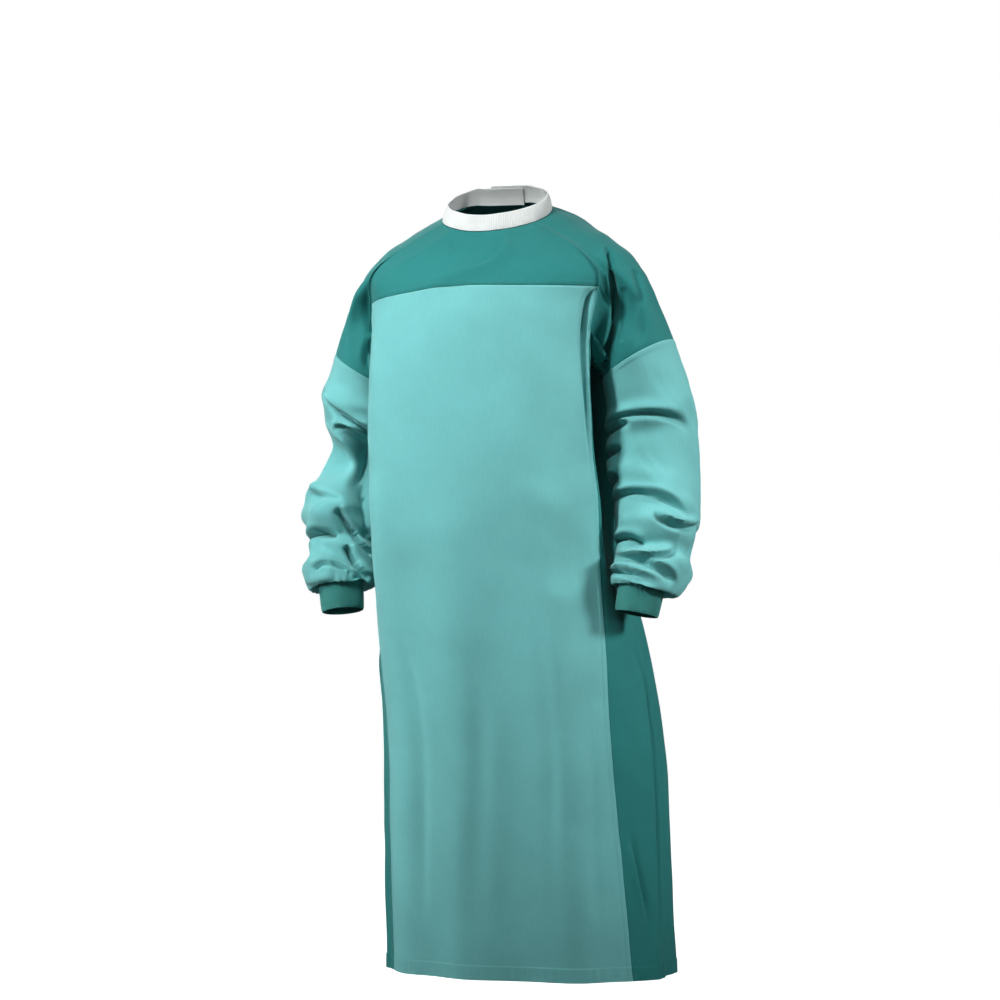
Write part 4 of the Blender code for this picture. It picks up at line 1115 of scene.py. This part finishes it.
def build_lower_sleeve(side, material):
    angle = np.linspace(0, 360, SLEEVE_COLUMNS, endpoint=False)
    if side == "left":
        angle = angle[::-1]
    along = STATIONS[-1].along * steps(SLEEVE_LENGTH, SLEEVE_ROWS, SEAM_STEPS)
    points = rolled(sleeve(side, angle, along[:, None]), along)
    points = inset(points, ("top", "bottom"))
    normals = grid_normals(points, True)
    extra = edge_heights(points, {"top": WELT})
    points, normals, extra = allowance(points, normals, extra, "top")
    piece = shell(f"lower_sleeve_{side}_cloth", points, normals, material, closed=True, extra=extra)
    return own(piece, f"sleeve_lower_{side}")


def cuff_axis(side):
    """The way down the forearm at the sleeve's gathered end."""
    centre, outward, forward = station_frame(side, np.array(STATIONS[-1].along))
    axis = unit(np.cross(outward, forward))
    return axis * -np.sign(axis[2])


POINTS_PER_RIB, PLAIN_RIB_ROWS = 6, 2
CUFF_ROWS, CUFF_SWELL, CUFF_NIP, CUFF_EDGE = 15, 0.0006, 0.0008, (0.93, 1.0)


def rib_heights(count, rows, plain_rows):
    """Extra height of the outer points: rounded ribs that fade in from the plain edge."""
    turn = np.arange(count) * 2 * math.pi / POINTS_PER_RIB
    rib = RIB_HEIGHT * np.sqrt(np.clip(0.5 + 0.5 * np.cos(turn), 0, 1))
    fade = np.ones(rows)
    fade[:plain_rows] = np.linspace(0, 1, plain_rows + 1)[1:]
    return fade[:, None] * rib


def build_cuff(side, material):
    """A knit tube from the sleeve's gathered end along the forearm."""
    centre, outward, forward = station_frame(side, np.array(STATIONS[-1].along))
    axis = cuff_axis(side)
    count = CUFF_RIBS * POINTS_PER_RIB
    turn = np.linspace(0, 2 * math.pi, count, endpoint=False)[None, :, None]
    reach = np.linspace(0, 1, CUFF_ROWS)
    swell = CUFF_SWELL * np.sin(math.pi * reach) - CUFF_NIP * ramp(reach, *CUFF_EDGE)
    radius = (CUFF_RADIUS + (CUFF_END_RADIUS - CUFF_RADIUS) * reach + swell)[:, None, None]
    ring = np.cos(turn) * unit(outward) + np.sin(turn) * unit(forward)
    if side == "left":
        ring = ring[:, ::-1]
    start = centre + axis * (KNIT / 2 + SEAM_GAP)
    points = start + axis * (reach * CUFF_LENGTH)[:, None, None] + radius * ring
    normals = np.broadcast_to(ring, points.shape)
    extra = rib_heights(count, len(reach), PLAIN_RIB_ROWS)
    piece = shell(f"cuff_{side}_knit", points, normals, material, True, None, KNIT, extra)
    return own(piece, f"cuff_{side}")


COLLAR_REACHES = (1, 0.992, 0.975, 0.95, 0.90, 0.80, 0.60, 0.40, 0.20, 0.08, 0)
COLLAR_FOLD, COLLAR_BELLY, COLLAR_TIP = 0.05, 0.0012, 0.0002


def build_collar(material):
    """A doubled knit band, folded at its upper edge, that stands on the neckline and laps behind."""
    end = 4 + BACK_LAP
    count = COLLAR_RIBS * POINTS_PER_RIB + 1
    place = np.linspace(-end, end, count)
    foot = body(place, NECK_DROP)
    first = body_normal(place, NECK_DROP)
    flat = unit(first * np.array([1, 1, 0]))
    rise = math.cos(COLLAR_LEAN) * np.array([0, 0, 1]) - math.sin(COLLAR_LEAN) * flat
    reach = np.array(COLLAR_REACHES)
    upright = unit(np.cross(np.gradient(foot, axis=0), rise))
    belly = COLLAR_BELLY * np.sin(math.pi * reach)
    points = foot + rise * (reach * COLLAR_HEIGHT + COLLAR_GAP)[:, None, None]
    points = points + upright * belly[:, None, None]
    normals = np.broadcast_to(upright, points.shape)
    off_fold = 1 - np.clip((1 - reach) / COLLAR_FOLD, 0, 1)
    fold = np.sqrt(1 - off_fold**2)
    thickness = np.maximum(KNIT * fold, COLLAR_TIP)[:, None]
    extra = rib_heights(count, len(reach), PLAIN_RIB_ROWS)[::-1] * fold[:, None]
    piece = shell("neckband_knit", points, normals, material, False, None, thickness, extra)
    return own(piece, "collar")


# ------------------------------------------------------------------- stitches
STITCH_PITCH, STITCH_LENGTH = 0.0032, 0.0025
STITCH_WIDTH, STITCH_HEIGHT = 0.00048, 0.00032
NEAR_ROW, FAR_ROW = 0.0016, 0.0064
HEM_ROW, TURN_ROW, NECK_ROW, UNDERARM_ROW = 0.0200, 0.0105, 0.0050, 0.0025
LINE_POINTS, HEM_POINTS, SLEEVE_POINTS = 260, 600, 500
UNDERARM_ENDS = (0.008, 0.355)
SPEED_STEP = 0.01
GRAIN_FACES = ((0, 2, 4), (2, 1, 4), (1, 3, 4), (3, 0, 4), (2, 0, 5), (1, 2, 5), (3, 1, 5), (0, 3, 5))


def off_place(place, drop, distance):
    """Points on the body at a distance from a place, sideways."""
    speed = np.linalg.norm(body(place + SPEED_STEP, drop) - body(place, drop), axis=-1) / SPEED_STEP
    return place + distance / speed


def body_row(place, drop, rise):
    """A line on the body's outer face, raised by doubled cloth."""
    place, drop = np.broadcast_arrays(np.asarray(place, float), np.asarray(drop, float))
    out = body_normal(place, drop)
    return body(place, drop) + (CLOTH / 2 + rise) * out, out


def read_along(values, length, at):
    """Values at lengths along a line of points."""
    return np.stack([np.interp(at, length, column) for column in values.T], -1)


def stitches(rows):
    """Corners and faces of stitches along lines of points, each a small pointed grain."""
    corners = []
    for line, out in rows:
        length = lengths_along(line)
        at = np.arange(STITCH_PITCH / 2, length[-1], STITCH_PITCH)
        centre, out = read_along(line, length, at), unit(read_along(out, length, at))
        ahead, behind = (read_along(line, length, at + off) for off in (STITCH_PITCH / 2, -STITCH_PITCH / 2))
        way = unit(ahead - behind)
        side = unit(np.cross(out, way))
        half = way * STITCH_LENGTH / 2
        wide = side * STITCH_WIDTH / 2
        high = out * STITCH_HEIGHT
        sunk = centre - high / 2
        grain = [sunk - half, sunk + half, centre - wide, centre + wide, centre + high, sunk]
        corners.append(np.stack(grain, 1))
    corners = np.concatenate(corners)
    first = 6 * np.arange(len(corners))[:, None, None]
    return corners.reshape(-1, 3), (first + np.array(GRAIN_FACES)).reshape(-1, 3)


def build_stitches(name, rows, material):
    corners, faces = stitches(rows)
    return own(new_piece(name, corners.tolist(), faces.tolist(), material), None)


def neck_row(side):
    """The stitches below the neckline where it crosses the top of a sleeve."""
    points, drop = upper_sleeve_points(side, np.linspace(0, 0.1, 11))
    far = edge_distances(points)["top"]
    columns = np.nonzero(drop == NECK_DROP)[0]
    order = columns[np.argsort((columns + NECK_HALF_COLUMNS + 1) % len(drop))]
    out = grid_normals(points, True) * -WAY[side]
    line = np.stack([[np.interp(NECK_ROW, far[:, c], points[:, c, i]) for i in range(3)] for c in order])
    return line + out[3, order] * CLOTH / 2, out[3, order]


def sleeve_row(side, angle, along, rise):
    angle, along = np.broadcast_arrays(np.asarray(angle, float), np.asarray(along, float))
    out = sleeve_normal(side, angle, along)
    return sleeve(side, angle, along) + (CLOTH / 2 + rise) * out, out


def seam_rows():
    """The lines of stitches on the light and on the dark cloth."""
    light, dark = [], []
    across = np.linspace(-1, 1, LINE_POINTS)
    straight = np.linspace(ARMPIT_DROP, HEM_DROP, 4 * LINE_POINTS)
    rear = np.linspace(NECK_DROP, ARMPIT_DROP, LINE_POINTS)
    whole = np.linspace(NECK_DROP, HEM_DROP, 4 * LINE_POINTS)
    row = section_at(straight)
    hem_drop, lap_end = HEM_DROP - HEM_ROW, 4 + BACK_LAP
    for far in (NEAR_ROW, FAR_ROW):
        dark.append(body_row(across, yoke_drop(across) - far, WELT.rise))
    for way, yoke, seam in ((1, YOKE_LEFT, row.seam_right), (-1, YOKE_RIGHT, row.seam_left)):
        for far in (NEAR_ROW, FAR_ROW):
            drop = NECK_DROP + (yoke - NECK_DROP) * np.linspace(0, 1, LINE_POINTS)
            dark.append(body_row(off_place(way, drop, -way * far), drop, WELT.rise))
            drop = np.linspace(yoke, ARMPIT_DROP, LINE_POINTS)
            light.append(body_row(off_place(way, drop, -way * far), drop, WELT.rise))
            light.append(body_row(off_place(way * seam, straight, -way * far), straight, WELT.rise))
            dark.append(body_row(off_place(3.0 * way, rear, way * far), rear, WELT.rise))
        dark.append(body_row(off_place(way * lap_end, whole, -way * TURN_ROW), whole, TURNED_EDGE.rise))
        behind = way * np.linspace(row.seam_right[-1], lap_end, HEM_POINTS)
        dark.append(body_row(behind, hem_drop, HEM.rise))
        dark.append(body_row(way * np.linspace(3, lap_end, LINE_POINTS), NECK_DROP + NECK_ROW, 0))
    front = np.linspace(-row.seam_left[-1], row.seam_right[-1], HEM_POINTS)
    light.append(body_row(front, hem_drop, HEM.rise))
    dark.append(body_row(across, NECK_DROP + NECK_ROW, 0))
    for side in WAY:
        dark.append(neck_row(side))
        for far in (NEAR_ROW, FAR_ROW):
            light.append(sleeve_row(side, np.linspace(0, 360, SLEEVE_POINTS), far, WELT.rise))
        for turn in (-1, 1):
            angle = 180 + turn * UNDERARM_ROW / SLEEVE_SCALE
            light.append(sleeve_row(side, angle, np.linspace(*UNDERARM_ENDS, SLEEVE_POINTS), 0))
    return light, dark


# ------------------------------------------------------------------------ ties
# Each tie is a pair of tapes, sewn on either side of the lap's free edge and tied in a bow.
TAPE_WIDTH, TAPE_THICKNESS, TAPE_REST = 0.012, 0.0010, 0.0002
TIE_KNOT_PLACE, TIE_EDGE_PLACE, TIE_PANEL_PLACE = -3.48, 4.27, -3.22
KNOT_SIZE = (0.015, 0.009, 0.014)
KNOT_OVERLAP, KNOT_REST = 0.006, 0.003
KNOT_TURNS = ((-16, 0.0), (13, 0.0007))
Tie = namedtuple("Tie", "name drop loop_length loop_fall tail_length")
TIES = (
    Tie("neck_tie", 0.024, 0.040, 38, 0.090),
    Tie("waist_tie", 0.420, 0.058, 32, 0.170),
)
LOOP_GAP, LOOP_OPEN, LOOP_ROOT, LOOP_STAGGER = 0.011, 0.4, 0.002, 0.0004
TAIL_STAGGER, TAIL_SPREAD, TAIL_DRIFT, TAIL_REST = 0.001, 0.04, 0.05, 0.0052
FLAT_SHARE, LYING_SHARE = 0.3, 0.35
TAIL_TWIST, TAIL_TURNS, WRAP_TUCK = 0.5, 2.2, 0.001
TAPE_STEPS = 56
# The tape's cross-section, in half widths and half thicknesses: thin selvedges and a soft middle.
TAPE_SECTION = (
    (-1, 0), (-0.94, 0.8), (-0.8, 0.9), (-0.3, 1), (0.3, 1), (0.8, 0.9), (0.94, 0.8),
    (1, 0), (0.94, -0.8), (0.8, -0.9), (0.3, -1), (-0.3, -1), (-0.8, -0.9), (-0.94, -0.8),
)


def smooth_path(points, passes=3):
    """A path with its corners cut, several times over."""
    points = np.array(points)
    for _ in range(passes):
        quarter = 0.75 * points[:-1] + 0.25 * points[1:]
        other = 0.25 * points[:-1] + 0.75 * points[1:]
        inner = np.stack([quarter, other], 1).reshape(-1, 3)
        points = np.concatenate([points[:1], inner, points[-1:]])
    return points


def ribbon(path, across):
    """Corners, faces and flat lengths of a soft-edged tape along a path."""
    path = np.array(path)
    across = np.broadcast_to(across, path.shape)
    along = unit(np.gradient(path, axis=0))
    across = unit(across - np.sum(across * along, -1, keepdims=True) * along)
    thick = np.cross(along, across)
    count = len(TAPE_SECTION)
    wide, high = np.array(TAPE_SECTION).T[:, :, None] / 2
    corners = path[:, None] + TAPE_WIDTH * wide * across[:, None] + TAPE_THICKNESS * high * thick[:, None]
    length = lengths_along(path)
    flat = np.stack(np.broadcast_arrays(TAPE_WIDTH * wide[:, 0], length[:, None]), -1)
    faces = [tuple(range(count))[::-1], tuple(range(count * (len(path) - 1), count * len(path)))]
    for i in range(len(path) - 1):
        for k in range(count):
            a, b = count * i + k, count * i + (k + 1) % count
            faces.append((a, b, b + count, a + count))
    return corners.reshape(-1, 3), faces, flat.reshape(-1, 2)


Knot = namedtuple("Knot", "centre rise out up way")


def tie_knot(tie):
    """The knot's centre, its lift off the cloth, and its ways out, up and sideways."""
    out = body_normal(TIE_KNOT_PLACE, tie.drop)
    rise = LAP_STEP + KNOT_SIZE[1] / 2 + KNOT_REST
    up = unit(np.array([0, 0, 1]) - out[2] * out)
    return Knot(body(TIE_KNOT_PLACE, tie.drop) + out * rise, rise, out, up, np.cross(up, out))


TAPE_LYING = CLOTH / 2 + TAPE_REST + TAPE_THICKNESS / 2


def sewn_tape(tie, knot, start, knot_place, lift):
    """A tape from where it is sewn on, flat on the cloth, up into the knot."""
    end = knot_place + math.copysign(KNOT_OVERLAP, knot_place - start)
    t = np.linspace(0, 1, TAPE_STEPS)
    place = start + (end - start) * t
    foot = body(place, tie.drop)
    rest = foot + (TAPE_LYING + lift) * body_normal(place, tie.drop)
    return ribbon(rest + ramp(t, FLAT_SHARE, 1.0)[:, None] * (knot.centre - rest[-1]), knot.up)


def bow_loop(tie, knot, turn):
    """A loop of the bow, to one side: out along one leg, round its end and back along the other."""
    fall = math.radians(tie.loop_fall)
    reach = math.cos(fall) * turn * knot.way - math.sin(fall) * knot.up
    half_turn = np.linspace(0, math.pi, 9)
    bend = LOOP_GAP / 2
    end = tie.loop_length - bend + bend * np.sin(half_turn)
    leg = LOOP_OPEN * tie.loop_length
    far = np.concatenate([[-LOOP_ROOT, leg], end, [leg, LOOP_ROOT / 2]])
    lift = np.concatenate([[-LOOP_ROOT, -bend], -bend * np.cos(half_turn), [bend, LOOP_ROOT]])
    lift = lift + LOOP_ROOT + turn * LOOP_STAGGER
    path = knot.centre + far[:, None] * reach + lift[:, None] * knot.out
    return ribbon(smooth_path(path), np.cross(reach, knot.out))


def bow_tail(tie, knot, turn):
    """A loose end, to one side: it spreads from the knot and lies down on the cloth below."""
    t = np.linspace(0, 1, TAPE_STEPS)
    place = TIE_KNOT_PLACE + turn * (TAIL_SPREAD * ramp(t, 0, FLAT_SHARE) + TAIL_DRIFT * t)
    drop = tie.drop - TAIL_STAGGER * (2 + turn) + tie.tail_length * t
    rest = TAPE_LYING + TAIL_REST
    height = knot.rise + (rest - knot.rise) * ramp(t, 0, LYING_SHARE)
    path = body(place, drop) + height[:, None] * body_normal(place, drop)
    twist = TAIL_TWIST * turn * np.sin(TAIL_TURNS * math.pi * t)[:, None] * knot.out
    return ribbon(path, knot.way + twist)


def knot_wrap(knot, tilt, swell):
    """The tape's turn round the middle of the bow."""
    turn = np.linspace(0, 2 * math.pi, TAPE_STEPS)[:, None]
    round_way = knot.out * (KNOT_SIZE[1] / 2 + swell) * np.cos(turn)
    lean = math.radians(tilt)
    upright = math.cos(lean) * knot.up + math.sin(lean) * knot.way
    path = knot.centre + round_way + upright * (KNOT_SIZE[2] / 2 - WRAP_TUCK) * np.sin(turn)
    return ribbon(path, math.cos(lean) * knot.way - math.sin(lean) * knot.up)


def build_tie(tie, material):
    """A tie as one mesh of soft tapes."""
    knot = tie_knot(tie)
    tapes = [
        sewn_tape(tie, knot, TIE_EDGE_PLACE, TIE_KNOT_PLACE + 8, TURNED_EDGE.rise),
        sewn_tape(tie, knot, TIE_PANEL_PLACE, TIE_KNOT_PLACE, 0),
    ]
    for turn in (-1, 1):
        tapes.append(bow_loop(tie, knot, turn))
        tapes.append(bow_tail(tie, knot, turn))
    tapes.extend(knot_wrap(knot, *wrap) for wrap in KNOT_TURNS)
    corners, faces, flats = [], [], []
    for spots, sides, flat in tapes:
        faces.extend(tuple(i + len(corners) for i in face) for face in sides)
        corners.extend(spots.tolist())
        flats.extend(flat.tolist())
    loops = [i for face in faces for i in face]
    piece = new_piece(f"{tie.name}_tape", corners, faces, material, np.array(flats)[loops])
    return own(piece, tie.name)


# How each piece was cut before it was sewn and hung, in metres: its width, length and area.
Sheet = namedtuple("Sheet", "width length area held rests_on carries")


def build_gown():
    light = woven("light_green_cloth", LIGHT_GREEN)
    dark = woven("dark_green_cloth", DARK_GREEN, sheen=0.06)
    cuff = knitted("dark_green_rib", RIB_GREEN)
    white = knitted("white_rib", WHITE)
    tape = woven("dark_green_tape", TAPE_GREEN, pitch=0.0011, twill=True)
    build_yoke(dark)
    build_front(light)
    build_collar(white)
    for side in WAY:
        build_back(side, dark)
        build_upper_sleeve(side, dark)
        build_lower_sleeve(side, light)
        build_cuff(side, cuff)
    for tie in TIES:
        build_tie(tie, tape)
    light_rows, dark_rows = seam_rows()
    build_stitches("light_stitches", light_rows, thread("light_green_thread", LIGHT_THREAD))
    build_stitches("dark_stitches", dark_rows, thread("dark_green_thread", DARK_THREAD))


# ---------------------------------------------------------------- the setting
FLOOR_DROP = 1.46
FLOOR_SIZE = 30.0


def build_stage():
    """The floor that the gown's shadow falls on, white to the camera."""
    half = FLOOR_SIZE / 2
    values = {"Base Color": (FLOOR_TONE,) * 3 + (1,), "Roughness": 0.9, "Emission Color": (1, 1, 1, 1)}
    material, tree, shader = new_material("studio_floor", values)
    path = tree.nodes.new("ShaderNodeLightPath")
    glow = math_node(tree, "MULTIPLY", path.outputs["Is Camera Ray"], FLOOR_GLOW)
    tree.links.new(glow, shader.inputs["Emission Strength"])
    corners = [(-half, -half, 0), (half, -half, 0), (half, half, 0), (-half, half, 0)]
    floor = new_piece("studio_floor", corners, [(0, 1, 2, 3)], material, smooth=False)
    floor.location.z = -FLOOR_DROP


Lamp = namedtuple("Lamp", "name place aim size power spread")
LAMPS = (
    Lamp("key", (-0.90, -2.2, 1.60), (0.06, -0.1, -0.33), 0.35, 2.20, 25),
    Lamp("top", (0.1, -1.3, 2.2), (0.0, 0.0, -0.08), 0.8, 1.0, 38),
    Lamp("side", (3.1, 0.2, 0.7), (0.27, 0.0, -0.36), 0.5, 2.3, 26),
    Lamp("low_side", (3.2, -0.6, -0.5), (0.26, 0.0, -1.00), 0.5, 0.42, 16),
    Lamp("left", (-2.8, -1.7, 0.6), (-0.28, 0.0, -0.56), 0.5, 0.88, 18),
    Lamp("low_left", (-2.8, -1.7, 0.1), (-0.18, 0.0, -1.10), 0.5, 0.88, 19),
    Lamp("high_left", (-2.4, -1.4, 1.5), (-0.30, 0.0, -0.10), 0.4, 0.36, 11),
    Lamp("fill", (0.9, -4.6, 0.2), (0.0, 0.0, -0.5), 1.2, 12, 180),
    Lamp("back_soft", (-1.6, 3.6, 1.4), (0.0, 0.0, -0.5), 2.0, 95, 180),
)
AMBIENT = 0.02
FLOOR_GLOW = 1.0
FLOOR_TONE = 0.30


def build_light():
    for lamp in LAMPS:
        light = bpy.data.lights.new(lamp.name, "AREA")
        light.energy = lamp.power
        light.size = lamp.size
        light.spread = math.radians(lamp.spread)
        holder = bpy.data.objects.new(lamp.name, light)
        holder.location = lamp.place
        away = Vector(lamp.place) - Vector(lamp.aim)
        holder.rotation_euler = away.to_track_quat("Z", "Y").to_euler()
        bpy.context.scene.collection.objects.link(holder)
    world = bpy.data.worlds.new("studio")
    world.use_nodes = True
    tree = world.node_tree
    seen = tree.nodes["Background"]
    seen.inputs["Color"].default_value = (1, 1, 1, 1)
    seen.inputs["Strength"].default_value = 1.0
    soft = node_of(tree, "ShaderNodeBackground", Color=(1, 1, 1, 1), Strength=AMBIENT)
    path = tree.nodes.new("ShaderNodeLightPath")
    choose = tree.nodes.new("ShaderNodeMixShader")
    tree.links.new(path.outputs["Is Camera Ray"], choose.inputs[0])
    tree.links.new(soft.outputs[0], choose.inputs[1])
    tree.links.new(seen.outputs[0], choose.inputs[2])
    tree.links.new(choose.outputs[0], tree.nodes["World Output"].inputs["Surface"])
    bpy.context.scene.world = world
    bpy.context.scene.view_settings.view_transform = "Standard"


def build_camera():
    back = Vector((math.sin(VIEW_AZIMUTH), -math.cos(VIEW_AZIMUTH), 0))
    data = bpy.data.cameras.new("camera")
    data.sensor_width = SENSOR
    data.lens = SENSOR * VIEW_DISTANCE / METRES_ACROSS
    camera = bpy.data.objects.new("camera", data)
    camera.location = VIEW_TARGET + back * VIEW_DISTANCE
    camera.rotation_euler = back.to_track_quat("Z", "Y").to_euler()
    bpy.context.scene.collection.objects.link(camera)
    bpy.context.scene.camera = camera


build_camera()
build_gown()
build_stage()
build_light()
